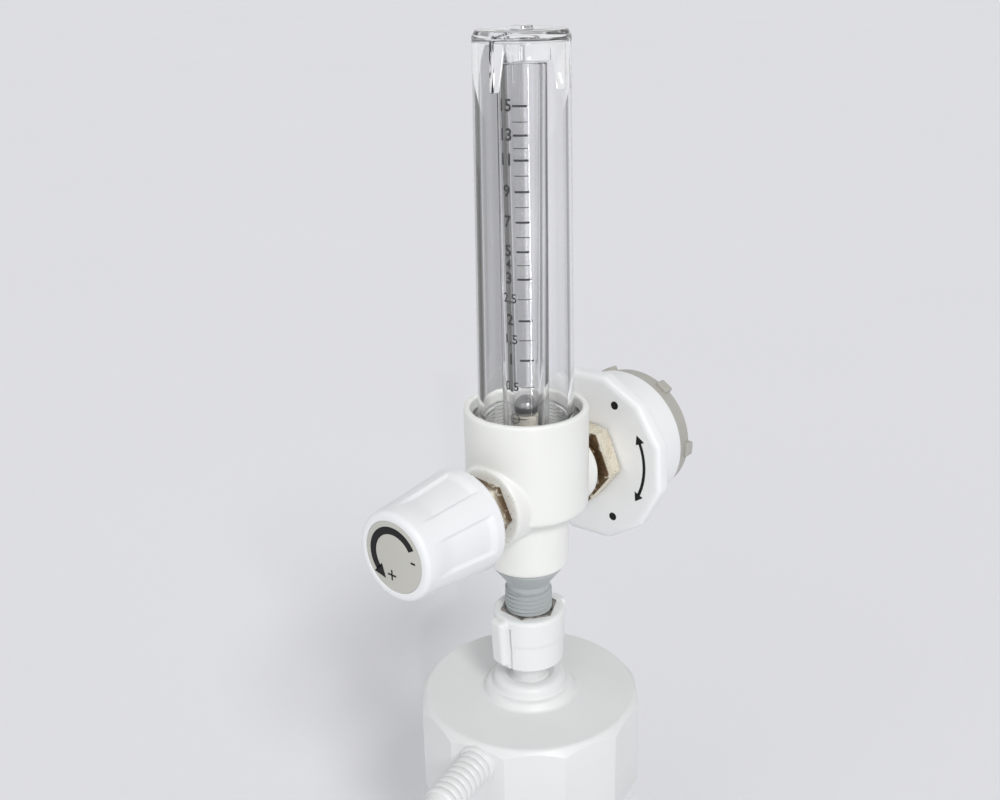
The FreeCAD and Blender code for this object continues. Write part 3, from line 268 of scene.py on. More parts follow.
class Finish:
    """One material with its shader, ready for layers of detail."""

    def __init__(self, name, **sockets):
        self.material = bpy.data.materials.new(name)
        self.material.use_nodes = True
        self.tree = self.material.node_tree
        self.shader = self.tree.nodes["Principled BSDF"]
        self.place = self.tree.nodes.new("ShaderNodeTexCoord")
        self.relief = None
        for key, value in sockets.items():
            self.shader.inputs[key.replace("_", " ")].default_value = value

    def node(self, kind, **settings):
        made = self.tree.nodes.new(kind)
        for key, value in settings.items():
            setattr(made, key, value)
        return made

    def link(self, start, end):
        self.tree.links.new(start, end)

    def grain(self, size, detail=3.0, stretch=(1, 1, 1)):
        """Noise whose blobs are about size millimetres across."""
        mapping = self.node("ShaderNodeMapping")
        mapping.inputs["Scale"].default_value = stretch
        self.link(self.place.outputs["Object"], mapping.inputs["Vector"])
        noise = self.node("ShaderNodeTexNoise")
        noise.inputs["Scale"].default_value = 1 / (size * MM)
        noise.inputs["Detail"].default_value = detail
        self.link(mapping.outputs["Vector"], noise.inputs["Vector"])
        return noise.outputs["Fac"]

    def band(self, source, start, end, first=0.0, last=1.0):
        """Map a value's range on to another, held at both ends."""
        change = self.node("ShaderNodeMapRange", interpolation_type="SMOOTHSTEP")
        change.inputs["From Min"].default_value = start
        change.inputs["From Max"].default_value = end
        change.inputs["To Min"].default_value = first
        change.inputs["To Max"].default_value = last
        self.link(source, change.inputs["Value"])
        return change.outputs["Result"]

    def times(self, first, second, operation="MULTIPLY"):
        node = self.node("ShaderNodeMath", operation=operation)
        for socket, value in zip(node.inputs, (first, second)):
            if isinstance(value, (int, float)):
                socket.default_value = value
            else:
                self.link(value, socket)
        return node.outputs["Value"]

    def along(self, letter):
        """The object coordinate along one axis, in metres."""
        split = self.node("ShaderNodeSeparateXYZ")
        self.link(self.place.outputs["Object"], split.inputs["Vector"])
        return split.outputs[letter]

    def colours(self, factor, first, second, below=None):
        """Mix two colours by a factor; below is an earlier mix that takes the first's place."""
        mix = self.node("ShaderNodeMix", data_type="RGBA")
        self.link(factor, mix.inputs["Factor"])
        if below is None:
            mix.inputs[6].default_value = tone(first)
        else:
            self.link(below, mix.inputs[6])
        mix.inputs[7].default_value = tone(second)
        self.link(mix.outputs[2], self.shader.inputs["Base Color"])
        return mix.outputs[2]

    def gloss(self, factor, first, second):
        self.link(self.band(factor, 0.3, 0.7, first, second), self.shader.inputs["Roughness"])

    def raise_by(self, height, depth, strength=1.0):
        """Relief of a depth in millimetres, laid over any relief before it."""
        bump = self.node("ShaderNodeBump")
        bump.inputs["Strength"].default_value = strength
        bump.inputs["Distance"].default_value = depth * MM
        self.link(height, bump.inputs["Height"])
        if self.relief is not None:
            self.link(self.relief, bump.inputs["Normal"])
        self.relief = bump.outputs["Normal"]
        self.link(self.relief, self.shader.inputs["Normal"])


def wear(piece, finish, body, nodes=()):
    """Give a piece its finish, the body that it moves with and the solids it stands for."""
    piece.data.materials.clear()
    piece.data.materials.append(finish.material)
    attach(piece, body)
    if nodes:
        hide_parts(*nodes)
    print(piece.name, "faces", len(piece.data.polygons))
    return piece


# %% [markdown]
# ## Painted brass
#
# The body is cast brass under warm white stove enamel. The paint is smooth but never flat, and it
# is thin and speckled where it ends at the bosses and the neck, with the metal showing in pin
# points. The specks are noise that is let through only near those ends.

# %% Enamel
enamel = Finish("warm_white_enamel", Roughness=0.34, Coat_Weight=0.25, Coat_Roughness=0.12)
cloud = enamel.grain(26.0, 2.0)
white = enamel.colours(enamel.band(cloud, 0.3, 0.75), "F1F2EE", "EDEEE9")
front_end = enamel.band(enamel.along("Y"), -0.0181, -0.0185)
neck_end = enamel.band(enamel.along("Z"), (body_base + 2.2) * MM, (body_base + 0.2) * MM)
ends = enamel.times(front_end, enamel.times(neck_end, 0.5), "MAXIMUM")
specks = enamel.band(enamel.grain(0.5, 2.0), 0.655, 0.70)
enamel.colours(enamel.times(specks, ends), "F1F2EE", "9A7B5C", below=white)
enamel.gloss(enamel.grain(3.0), 0.30, 0.42)
enamel.raise_by(enamel.grain(1.4, 1.0), 0.01, 0.5)
enamel.raise_by(enamel.times(enamel.grain(0.5, 2.0), ends), 0.12, 0.8)

# %% [markdown]
# ## Moulded plastics
#
# The knob is a cool white, the collar a bluish white with a fine satin, the lid and wing nut a
# softer grey white, and the ring at the wall end a light grey. They differ in tone and gloss more
# than in texture, so one recipe makes them all: a cloudy tone, uneven gloss and a very fine
# relief.

# %% White and grey mouldings
def moulding(name, light, shade, rough, grain=0.35, depth=0.006):
    finish = Finish(name, IOR=1.49)
    finish.colours(finish.band(finish.grain(30.0, 2.0), 0.3, 0.7), light, shade)
    finish.gloss(finish.grain(4.0), rough, rough + 0.10)
    finish.raise_by(finish.grain(grain, 2.0), depth, 0.6)
    return finish


knob_white = moulding("knob_white", "F1F2F3", "EDEFF0", 0.28)
collar_white = moulding("collar_white", "F3F4F4", "EEEFF0", 0.40, 0.25, 0.008)
lid_white = moulding("lid_white", "E6E8E7", "E2E4E3", 0.36)
nut_white = moulding("nut_white", "ECEEED", "E8EAE9", 0.34)
ring_grey = moulding("ring_grey", "B9B7B0", "ABA9A2", 0.5, 0.25, 0.012)
porous_white = moulding("porous_white", "DAD9D2", "C2C1B8", 0.85, 0.5, 0.12)
pale_bush = moulding("pale_bush", "CFC9BC", "BDB7A9", 0.5)
outlet_grey = moulding("outlet_grey", "BABFBF", "ACB1B1", 0.36, 0.6, 0.02)
seal_black = moulding("seal_black", "1B1B1B", "262524", 0.7, 0.2, 0.01)

# %% [markdown]
# ## Bare and plated metals
#
# The hexagons are nickel on brass: pale gold in the light and brown in the shade, with fine lines
# left by the cutting tool. The lines run round each piece, so they are rings along its axis, made
# from noise that is squeezed hard in one direction. Where the nuts meet the bosses their colour
# carries brown patches, partly worn plating and partly painted shade between nut and body.

# %% Nickel, brass, steel and the dull insert
def metal(name, light, shade, rough, lines=None, depth=0.01):
    """Lines gives the squeeze of the noise, so the tool marks lie across that axis."""
    finish = Finish(name, Metallic=1.0)
    finish.colours(finish.band(finish.grain(3.5, 3.0), 0.35, 0.7), light, shade)
    finish.gloss(finish.grain(1.5), rough, rough + 0.12)
    if lines:
        finish.raise_by(finish.grain(6.0, 0.0, lines), depth, 0.7)
    finish.raise_by(finish.grain(0.4, 2.0), 0.0015, 0.5)
    return finish


nickel = metal("nickel_plate", "DDD6C6", "C9BEA8", 0.16, (0.4, 22.0, 0.4), 0.03)
nickel_wear_and_shade = metal("nickel_wear_and_shade", "F4EEDF", "E0D6C0", 0.2, (8.0, 0.08, 8.0), 0.04)
nickel_wear_and_shade.shader.inputs["Metallic"].default_value = 0.7
cloudy = nickel_wear_and_shade.band(nickel_wear_and_shade.grain(5.0), 0.35, 0.7)
bright = nickel_wear_and_shade.colours(cloudy, "F4EEDF", "E0D6C0")
# Brown patches near the body: partly worn plating, partly painted shade where the nuts meet the
# bosses.
behind = nickel_wear_and_shade.band(nickel_wear_and_shade.along("Y"), 0.0236, 0.0229)
before = nickel_wear_and_shade.band(nickel_wear_and_shade.along("Y"), -0.0235, -0.0195)
shade_near_body = nickel_wear_and_shade.times(behind, before, "MINIMUM")
wear_and_shade_patches = nickel_wear_and_shade.band(nickel_wear_and_shade.grain(2.2, 2.0), 0.30, 0.46)
nickel_wear_and_shade.colours(nickel_wear_and_shade.times(shade_near_body, wear_and_shade_patches), "F4EEDF", "6E5840", below=bright)
brass = metal("turned_brass", "D3B371", "BF9C58", 0.22, (0.4, 22.0, 0.4), 0.02)
steel = metal("ball_steel", "949492", "858583", 0.14)
spring_steel = metal("spring_steel", "A8A7A3", "8F8E8A", 0.28, (0.4, 22.0, 0.4))
dull_insert = metal("dull_insert", "A19D98", "5E5A55", 0.36, (1.0, 1.0, 26.0), 0.05)
sintered = metal("sintered_bronze", "A98A5B", "7F6540", 0.6, None)
sintered.raise_by(sintered.grain(0.35, 3.0), 0.15, 1.0)

# %% [markdown]
# ## Clear plastic and printing ink
#
# The column, the flow tube and the jar are clear plastic. A see-through shader without refraction
# would be quicker, but the bright and dark edges that say "thick clear tube" come from
# refraction, so the walls are real and the light bends in them. Bent light seldom finds a lamp,
# and what stands behind the plastic would stay dark, so the rays that look for lamps go straight
# through.

# %% Clear walls and ink
def clear(name, tint, rough):
    finish = Finish(name, Transmission_Weight=1.0, IOR=1.5, Roughness=rough)
    finish.colours(finish.band(finish.grain(30.0, 1.0), 0.3, 0.7), tint, "FFFFFF")
    finish.raise_by(finish.grain(6.0, 1.0), 0.01, 0.25)
    rays = finish.node("ShaderNodeLightPath")
    straight = finish.node("ShaderNodeBsdfTransparent")
    straight.inputs["Color"].default_value = (0.88, 0.88, 0.88, 1)
    mix = finish.node("ShaderNodeMixShader")
    finish.link(rays.outputs["Is Shadow Ray"], mix.inputs["Fac"])
    finish.link(finish.shader.outputs["BSDF"], mix.inputs[1])
    finish.link(straight.outputs["BSDF"], mix.inputs[2])
    finish.link(mix.outputs["Shader"], finish.tree.nodes["Material Output"].inputs["Surface"])
    return finish


column_clear = clear("column_clear", "FBFBFC", 0.01)
tube_clear = clear("tube_clear", "F8F8F9", 0.01)
jar_clear = clear("jar_clear", "F4F7F8", 0.02)

ink = Finish("printed_ink", Roughness=0.5, Specular_IOR_Level=0.25)
ink.colours(ink.band(ink.grain(0.3, 2.0), 0.3, 0.7), "0E0E0F", "171718")
label_grey = moulding("label_grey", "C9C8C0", "C1C0B8", 0.36)


# %% [markdown]
# ## The valve body
#
# The casting is one lump: a cup for the column, a shoulder, a neck, and a boss in front and
# behind. Where the bosses meet the cup the paint fills the corner to a soft hollow. Bevels on
# such crossing cylinders fold over, so the plain solids are overlapped, remeshed into one skin of
# small squares and smoothed, which rounds the corners as poured paint does.

# %% Cast the body
NECK, CUP, CUP_BORE, POCKET = 12.2, 18.0, 16.0, 6.75
cup_top = 50.2
body = turned("valve_body_cast", [
    (0, 0), (NECK, 0, 1.2), (NECK, 18.2), (16.9, 18.9, 0.4), (CUP, 20.1, 0.5),
    (CUP, cup_top, 0.7), (CUP_BORE, cup_top, 0.7), (CUP_BORE, 36.2), (POCKET, 36.2),
    (POCKET, 31.2), (0, 31.2)], closed=False, steps=160)
stand(body, body_base)
for radius, reach, put in ((NECK, 18.6, face_front), (11.6, 20.0, face_back)):
    boss = turned("boss", [(0, 0), (radius, 0), (radius, reach, 0.9), (0, reach)], closed=False)
    combine(body, put(boss), "UNION")
cup = prism("cup_cutter", 160, CUP_BORE, rim - 14.0, rim + 2)
combine(body, cup, "DIFFERENCE")
pocket = prism("pocket_cutter", 96, POCKET, rim - 19.0, rim - 13.0)
combine(body, pocket, "DIFFERENCE")
apply_modifier(body, "REMESH", mode="VOXEL", voxel_size=0.4 * MM)
apply_modifier(body, "SMOOTH", factor=0.5, iterations=7)
alone(body)
bpy.ops.object.shade_smooth()
wear(body, enamel, "flowmeter", ["valve_body"])


# %% [markdown]
# ## The outlet and its thread
#
# Under the neck hangs a grey fitting: a flare, a short relief and an outlet thread with eighteen
# turns to the inch. Rings would look close, but a thread climbs, and that shows where it meets
# the nut. So one pitch of the ridge is drawn and wound upwards with the Screw modifier.

# %% Wind a thread
def wound(name, crest, root, pitch, bottom, top):
    ridge = [Vector((root, 0)), Vector((crest, pitch * 0.34)), Vector((crest, pitch * 0.46)),
             Vector((root, pitch * 0.80)), Vector((root, pitch))]
    piece = pencil(name, ridge, closed=False)
    bpy.ops.object.mode_set(mode="OBJECT")
    turns = math.ceil((top - bottom) / pitch) + 2
    apply_modifier(piece, "SCREW", axis="Z", angle=math.tau, screw_offset=pitch * MM, steps=64,
                   render_steps=64, iterations=turns, use_merge_vertices=True,
                   merge_threshold=1e-7)
    stand(piece, bottom - pitch)
    bpy.ops.object.mode_set(mode="EDIT")
    for height, direction in ((bottom, -1), (top, 1)):
        bpy.ops.mesh.select_all(action="SELECT")
        bpy.ops.mesh.bisect(plane_co=(0, 0, height * MM), plane_no=(0, 0, direction),
                            use_fill=True, clear_outer=True)
    bpy.ops.mesh.select_all(action="SELECT")
    bpy.ops.mesh.remove_doubles(threshold=1e-7)
    bpy.ops.mesh.normals_make_consistent(inside=False)
    bpy.ops.object.mode_set(mode="OBJECT")
    smooth_by_angle(piece, 30)
    return piece


OUTLET_BORE, PITCH = 3.0, 25.4 / 18
thread_end = outlet_base + 17.0
threads = wound("outlet_threads", 7.14, 6.4, PITCH, outlet_base, thread_end + 0.2)
flare = turned("outlet_flare", [
    (OUTLET_BORE, 17.0), (6.5, 17.0), (6.5, 19.2, 0.8), (10.8, 24.9, 0.5), (10.8, 25.8),
    (5.6, 25.8), (5.6, 34.8), (OUTLET_BORE, 34.8)])
stand(flare, outlet_base)
bore = prism("outlet_bore", 64, OUTLET_BORE, outlet_base - 2, thread_end + 2)
combine(threads, bore, "DIFFERENCE")
outlet = joined("outlet_fitting_threaded", [threads, flare])
wear(outlet, outlet_grey, "flowmeter", ["outlet_fitting"])


# %% [markdown]
# ## Hexagon nuts
#
# A nickelled nut holds the spindle in front and a larger one joins the probe behind. A hexagon
# bar could just get its edges broken, but a real nut is turned first: a shallow cone cuts its
# corners into arcs. So a turned blank and a hexagon bar are overlapped and only their common part
# is kept.

# %% Cut the two nuts
def hexagon_nut(name, corner_radius, start, end, bore_radius, spin, cone):
    flat = corner_radius * math.cos(math.radians(30))
    blank = turned(name, [
        (bore_radius, start), (corner_radius + 1, start), (corner_radius + 1, end - cone),
        (flat - 0.2, end), (bore_radius, end)], steps=144)
    bar = prism("hexagon_bar", 6, corner_radius, start - 2, end + 2, spin)
    combine(blank, bar, "INTERSECT")
    return ease_edges(blank, 0.18, 2)


GLAND_BORE, INLET_BORE = 4.06, 4.45
gland = hexagon_nut("gland_nut_cut", 9.8, 18.6, 26.0, GLAND_BORE, 0, 1.9)
gland_shank = turned("gland_shank", [
    (GLAND_BORE, 11.0), (6.9, 11.0), (6.9, 18.8), (GLAND_BORE, 18.8)])
gland = face_front(joined("gland_nut_cut", [gland, gland_shank]), spin=-4.0)
wear(gland, nickel_wear_and_shade, "flowmeter", ["gland_nut"])

inlet = hexagon_nut("inlet_nut_cut", 13.3, 22.9, 29.3, INLET_BORE, 0, 0.7)
inlet_neck = turned("inlet_neck", [
    (INLET_BORE, 8.5), (6.95, 8.5), (6.95, 20.0), (9.0, 20.0, 0.4), (9.0, 23.1),
    (INLET_BORE, 23.1)])
inlet = face_back(joined("inlet_nut_cut", [inlet, inlet_neck]), spin=7.0)
wear(inlet, nickel_wear_and_shade, "flowmeter", ["inlet_nut"])


# %% [markdown]
# ## The control knob
#
# The knob is a hollow taper with five wide, shallow grip recesses that leave five low ribs. The
# recesses could be cut with a tool, but their ends are soft, so the skin is spun with small faces
# first, and its points are drawn in towards the axis afterwards.

# %% Spin the knob's skin
back, front = 27.6, 55.5
BACK_ROUND, FRONT_ROUND = 0.8, 1.6
SIDE_RINGS = 64
edge_start = Vector((15.2, back + BACK_ROUND))
edge_end = Vector((12.75, front - FRONT_ROUND))
side = [tuple(edge_start.lerp(edge_end, step / SIDE_RINGS)) for step in range(SIDE_RINGS + 1)]


def arc(middle, rounding, degrees):
    """Points on a circle in the outline, each at an angle from straight outwards."""
    turns = [math.radians(angle) for angle in degrees]
    return [(middle.x + rounding * math.cos(turn), middle.y + rounding * math.sin(turn))
            for turn in turns]


rim_arc = arc(edge_start - Vector((BACK_ROUND, 0)), BACK_ROUND, range(-90, 0, 15))
nose_arc = arc(edge_end - Vector((FRONT_ROUND, 0)), FRONT_ROUND, range(15, 91, 15))
knob = turned("control_knob_moulded", [
    (4.04, 29.4), (6.6, 29.4), (6.6, 48.0), (10.6, 48.0), (12.8, back), *rim_arc, *side, *nose_arc,
    (10.2, front, 0.15), (10.2, front - 0.75), (3.3, front - 0.75), (3.3, 46.1), (1.55, 46.1),
    (1.55, 44.55), (4.04, 44.55)], steps=240)

# %% [markdown]
# A recess is forty-six degrees wide. Its long edges are crisp, because a thumb pushes against
# them, and its ends run out softly. Each point of the skin is moved towards the axis by a depth
# that rises steeply from the long edges and slowly from the ends, which no single bevel would
# give.

# %% Draw in the grip recesses
GRIP_WIDTH, GRIP_LOW, GRIP_HIGH = 46.0, back + 2.8, back + 25.2
GRIP_DEPTH, GRIP_EDGE, GRIP_BACK_RUN, GRIP_FRONT_RUN = 0.95, 0.75, 2.6, 8.0


def eased(share):
    share = min(max(share, 0.0), 1.0)
    return share * share * (3 - 2 * share)


def grip_depth(point):
    """How far a point of the knob's skin lies under the full round, in millimetres."""
    radius, height = math.hypot(point.x, point.y) / MM, point.z / MM
    share = (height - edge_start.y) / (edge_end.y - edge_start.y)
    skin = edge_start.x + share * (edge_end.x - edge_start.x)
    turn = (math.degrees(math.atan2(point.y, point.x)) + 36) % 72 - 36
    across = math.radians(GRIP_WIDTH / 2 - abs(turn)) * radius
    if radius < skin - 0.3 or across <= 0:
        return 0.0
    back_end = eased((height - GRIP_LOW) / GRIP_BACK_RUN)
    front_end = eased((GRIP_HIGH - height) / GRIP_FRONT_RUN)
    return GRIP_DEPTH * eased(across / GRIP_EDGE) * back_end * front_end


for vertex in knob.data.vertices:
    radius = math.hypot(vertex.co.x, vertex.co.y) / MM
    if radius > 12.0:
        keep = 1 - grip_depth(vertex.co) / radius
        vertex.co = (vertex.co.x * keep, vertex.co.y * keep, vertex.co.z)
smooth_by_angle(knob, 50)
face_front(knob, spin=77.5)
wear(knob, knob_white, "control", ["control_knob"])

# %% [markdown]
# ## The knob's label
#
# A thin round label closes the knob. It carries a plain turning arrow with a plus and a minus,
# which any valve knob may have. The arrow could be a painted mask; a flat ribbon of ink, spun
# from one short edge, keeps its outline sharp at any distance.

# %% Label and its arrow
label_face = front - 0.15
label = turned("knob_label_disc", [
    (0, label_face - 0.6), (10.15, label_face - 0.6), (10.15, label_face, 0.08), (0, label_face)],
    closed=False)
face_front(label)
wear(label, label_grey, "control", ["knob_label"])


def flat_arc(name, inner, outer, start, sweep, height):
    """A flat ribbon round the axis, from a start angle through a sweep against the clock."""
    piece = pencil(name, [Vector((inner, height)), Vector((outer, height))], closed=False)
    bpy.ops.mesh.select_all(action="SELECT")
    bpy.ops.mesh.spin(steps=48, angle=math.radians(sweep), center=(0, 0, 0), axis=(0, 0, -1))
    bpy.ops.object.mode_set(mode="OBJECT")
    settle(piece, spin_matrix(start))
    return piece


def on_circle(radius, angle, height):
    """A place round the upright axis, from millimetres and degrees."""
    turn = math.radians(angle)
    return (radius * math.cos(turn) * MM, radius * math.sin(turn) * MM, height * MM)


def arrow_head(name, radius, angle, size, height, forward=1):
    bpy.ops.object.select_all(action="DESELECT")
    bpy.ops.mesh.primitive_circle_add(vertices=3, radius=size * MM, fill_type="NGON")
    piece = bpy.context.object
    piece.name = name
    point = Matrix.Rotation(math.radians(angle) + (0 if forward > 0 else math.pi), 4, "Z")
    return settle(piece, Matrix.Translation(on_circle(radius, angle, height)) @ point)


def flat_text(name, words, size, x, y, height, weight=0.0):
    """Flat letters about a point; weight in millimetres makes their strokes wider on each side."""
    bpy.ops.object.select_all(action="DESELECT")
    bpy.ops.object.text_add(location=(0, 0, 0))
    piece = bpy.context.object
    piece.name = name
    piece.data.body = words
    piece.data.size = size * MM
    piece.data.offset = weight * MM
    piece.data.align_x = "CENTER"
    piece.data.align_y = "CENTER"
    bpy.ops.object.convert(target="MESH")
    return settle(bpy.context.object, Matrix.Translation((x * MM, y * MM, height * MM)))


def inked(piece, thickness=0.03):
    """Give flat marks the thickness of a coat of ink, away from the surface."""
    alone(piece)
    bpy.ops.object.mode_set(mode="EDIT")
    bpy.ops.mesh.select_all(action="SELECT")
    bpy.ops.mesh.remove_doubles(threshold=1e-7)
    bpy.ops.object.mode_set(mode="OBJECT")
    apply_modifier(piece, "SOLIDIFY", thickness=thickness * MM, offset=1.0)
    return piece


mark_height = label_face + 0.01
marks = [
    flat_arc("turn_arc", 6.5, 8.6, 30, 190, mark_height),
    arrow_head("turn_head", 7.55, 227, 2.5, mark_height),
    flat_text("more", "+", 6.4, -1.0, -5.9, mark_height),
    flat_text("less", "-", 6.4, 7.0, 0.9, mark_height),
]
arrow = face_front(inked(joined("knob_arrow_print", marks)))
wear(arrow, ink, "control")

# %% [markdown]
# ## The clear column
#
# The outer shroud is a clear closed tube with a screw flange in the cup and three ribs inside its
# top that centre the flow tube. It's one moulding, so the ribs are joined to the wall as one
# solid: a rib that merely overlapped would show a false edge where two clear skins cross.

# %% Shroud with its ribs
FLANGE, THREAD_ROOT, COLUMN = 15.7, 15.2, 13.75
shroud_base = low("shroud")
flange_rings = []
for ring in range(7):
    height = 1.0 + ring * 1.15
    flange_rings += [(FLANGE, height), (THREAD_ROOT, height + 0.45), (THREAD_ROOT, height + 0.6),
                     (FLANGE, height + 1.0)]
ceiling = high("shroud") - shroud_base - 3.4
top = ceiling + 2.4
shroud = turned("shroud_column", [
    (0, ceiling), (11.26, ceiling, 0.8), (12.15, 0), (FLANGE, 0), *flange_rings,
    (FLANGE, 9.5, 0.3), (COLUMN, 9.5, 0.4), (COLUMN, 12.5), (12.86, top - 1.7, 0.35),
    (11.96, top, 0.5), (3.2, top, 0.3),
    (2.9, top + 1.0, 0.3), (0, top + 1.0)], closed=False, steps=144)
alone(shroud)
bpy.ops.object.mode_set(mode="EDIT")
bpy.ops.mesh.select_all(action="SELECT")
bpy.ops.mesh.remove_doubles(threshold=1e-6)
bpy.ops.object.mode_set(mode="OBJECT")
print("shroud", [round(value / MM, 2) for value in shroud.dimensions])

# %% [markdown]
# Each rib hangs down the wall, narrows towards its foot and has an arm over the flow tube's end.
# A flat plate is shaped so and copied twice round the column.

# %% Ribs inside the column's top
tube_top = high("flow_tube") - shroud_base
RIB_THICKNESS = 1.4
end = ceiling + 0.6
leg = (6.95, 11.9, tube_top - 7.0, 2.3)
arm = (0.9, 7.5, tube_top + 0.3, 0.0)
for turn in (0, 120, 240):
    for inner, outer, bottom, taper in (leg, arm):
        rib = block((outer - inner, RIB_THICKNESS, end - bottom),
                    ((outer + inner) / 2, 0, (end + bottom) / 2))
        for corner in rib.data.vertices:
            if corner.co.z < (bottom + 0.1) * MM and corner.co.x < (inner + 0.1) * MM:
                corner.co.x += taper * MM
        apply_modifier(rib, "BEVEL", width=0.3 * MM, segments=2)
        settle(rib, spin_matrix(turn - 90))
        combine(shroud, rib, "UNION")
smooth_by_angle(shroud, 35)
stand(shroud, shroud_base)
wear(shroud, column_clear, "flowmeter", ["shroud"])

# %% [markdown]
# ## Flow tube and ball
#
# The flow tube is thick, and its bore widens upwards: the more gas flows, the higher the ball has
# to float to let it pass. The ball shows at its true width through the thick wall, which the real
# bore gives by itself. It could be a plain sphere; it gets the faint flats and tarnish of a used
# one through its finish.

# %% Tube, ball and their finishes
TUBE_RADIUS, TUBE_BORE, BALL_RADIUS = 6.6, 3.55, 3.45
tube_length = 112.3
tube_base = low("flow_tube")
tube = turned("flow_tube_bored", [
    (TUBE_BORE, 0), (TUBE_RADIUS, 0), (TUBE_RADIUS, tube_length, 0.5), (4.6, tube_length, 0.2),
    (TUBE_BORE, 13.8)], steps=144)
stand(tube, tube_base)
wear(tube, tube_clear, "flowmeter", ["flow_tube"])

bpy.ops.object.select_all(action="DESELECT")
bpy.ops.mesh.primitive_uv_sphere_add(segments=64, ring_count=32, radius=BALL_RADIUS * MM,
                                     location=(0, 0, ball_centre * MM))
ball = bpy.context.object
ball.name = "float_ball_polished"
bpy.ops.object.transform_apply(location=True, rotation=True, scale=True)
bpy.ops.object.shade_smooth()
wear(ball, steel, "float", ["float_ball"])

# %% [markdown]
# ## The printed scale
#
# The scale is printed on the flow tube: heavy and thin ticks, and numbers to their left, crowded
# together because a ball in a widening bore doesn't rise evenly. Flat text is made into a mesh,
# cut finely, wrapped round the tube by its own width, and given the thickness of ink.

# %% Heights of the ticks
TICKS = {0.5: 7.66, 1: 15.61, 1.5: 21.41, 2: 27.0, 2.5: 33.08, 3: 38.66, 4: 42.53, 5: 46.23,
         6: 50.17, 7: 54.21, 8: 58.21, 9: 62.31, 10: 66.5, 11: 70.52, 12: 73.61, 13: 76.93,
         14: 80.35, 15: 84.37}
NUMBERS = {0.5: "0,5", 1: "1", 1.5: "1,5", 2: "2", 2.5: "2,5", 3: "3", 4: "4", 5: "5", 7: "7",
           9: "9", 11: "11", 13: "13", 15: "15"}
HEAVY = (1, 2, 3, 5, 7, 9, 11, 13, 15)
CAMERA_TURN = 39.29


def around_tube(piece, bearing, height):
    """Wrap a flat mark in the XY plane round the tube, at a bearing from the camera's side."""
    alone(piece)
    bpy.ops.object.mode_set(mode="EDIT")
    bpy.ops.mesh.select_all(action="SELECT")
    bpy.ops.mesh.quads_convert_to_tris()
    bpy.ops.mesh.subdivide(number_cuts=2)
    bpy.ops.object.mode_set(mode="OBJECT")
    radius = TUBE_RADIUS + 0.01
    for vertex in piece.data.vertices:
        turn = math.radians(bearing + CAMERA_TURN) + vertex.co.x / (radius * MM)
        up = vertex.co.y + height * MM
        vertex.co = (radius * MM * math.sin(turn), -radius * MM * math.cos(turn), up)
    return piece


def flat_bar(name, width, height):
    bpy.ops.object.select_all(action="DESELECT")
    bpy.ops.mesh.primitive_grid_add(x_subdivisions=8, y_subdivisions=1, size=1)
    piece = bpy.context.object
    piece.name = name
    piece.scale = (width * MM, height * MM, 1)
    bpy.ops.object.transform_apply(location=True, rotation=True, scale=True)
    return piece


print_pieces = []
for value, height in TICKS.items():
    lean = (TICKS[15] - height) / 76.7 * 11
    bar = flat_bar(f"tick_{value}", 3.8, 0.58 if value in HEAVY else 0.22)
    print_pieces.append(around_tube(bar, -6.5 + lean, ball_centre + height))
    if value in NUMBERS:
        small = "," in NUMBERS[value] or value == 4
        word = flat_text(f"number_{value}", NUMBERS[value], 3.7 if small else 4.4, 0, 0, 0,
                         0.04 if small else 0.10)
        print_pieces.append(around_tube(word, -43 + lean * 0.7, ball_centre + height))
read_height = ball_centre - 1.9
circle_mark = flat_arc("read_at_centre", 1.15, 1.45, 0, 360, 0)
print_pieces.append(around_tube(circle_mark, -28, read_height))
print_pieces.append(around_tube(flat_bar("read_line", 4.4, 0.3), -17, read_height))
scale_print = inked(joined("scale_print", print_pieces), 0.02)
wear(scale_print, ink, "flowmeter")


# %% [markdown]
# ## The locking collar
#
# Twelve flats help a gloved hand to turn the collar that frees the probe. Behind the flange a
# sleeve runs to the grey bayonet ring with its lugs. A bar with twelve sides gives the flats; its
# edges are beveled wide, and the sleeve is turned and joined behind it.

# %% Collar and sleeve
collar_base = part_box("locking_collar")[0].y / MM
FLANGE_THICKNESS, SLEEVE, COLLAR_HOLE = 4.9, 21.8, 8.3
flange_back = collar_base + FLANGE_THICKNESS
collar = prism("locking_collar_moulded", 12, 27.7, collar_base, flange_back, 0)
alone(collar)
bpy.ops.object.mode_set(mode="EDIT")
mesh = bmesh.from_edit_mesh(collar.data)
bpy.ops.mesh.select_all(action="DESELECT")
bpy.ops.mesh.select_mode(type="FACE")
for face in mesh.faces:
    face.select = face.normal.z < -0.9
bmesh.update_edit_mesh(collar.data)
bpy.ops.mesh.inset(thickness=2.2 * MM, depth=0)
bpy.ops.mesh.inset(thickness=0.9 * MM, depth=-0.35 * MM)
bpy.ops.mesh.select_mode(type="VERT")
bpy.ops.object.mode_set(mode="OBJECT")
ease_edges(collar, 1.1, 4, 25)
sleeve_front, sleeve_end = collar_base + 1.0, collar_base + 19.9
sleeve = turned("collar_sleeve", [
    (COLLAR_HOLE, sleeve_front), (SLEEVE, sleeve_front), (SLEEVE, sleeve_end, 0.5),
    (19.3, sleeve_end), (19.3, flange_back), (COLLAR_HOLE, flange_back)], steps=144)
combine(collar, sleeve, "UNION")
hole = prism("collar_hole", 96, COLLAR_HOLE, collar_base - 2, collar_base + 8)
combine(collar, hole, "DIFFERENCE")
smooth_by_angle(collar, 35)
face_back(collar, spin=12.2)
wear(collar, collar_white, "lock_ring", ["locking_collar"])

# %% [markdown]
# Two plain double arrows on the flange show that it twists both ways, and four round marks help
# the eye to see how far. They are flat ribbons of ink, like the arrow on the knob.

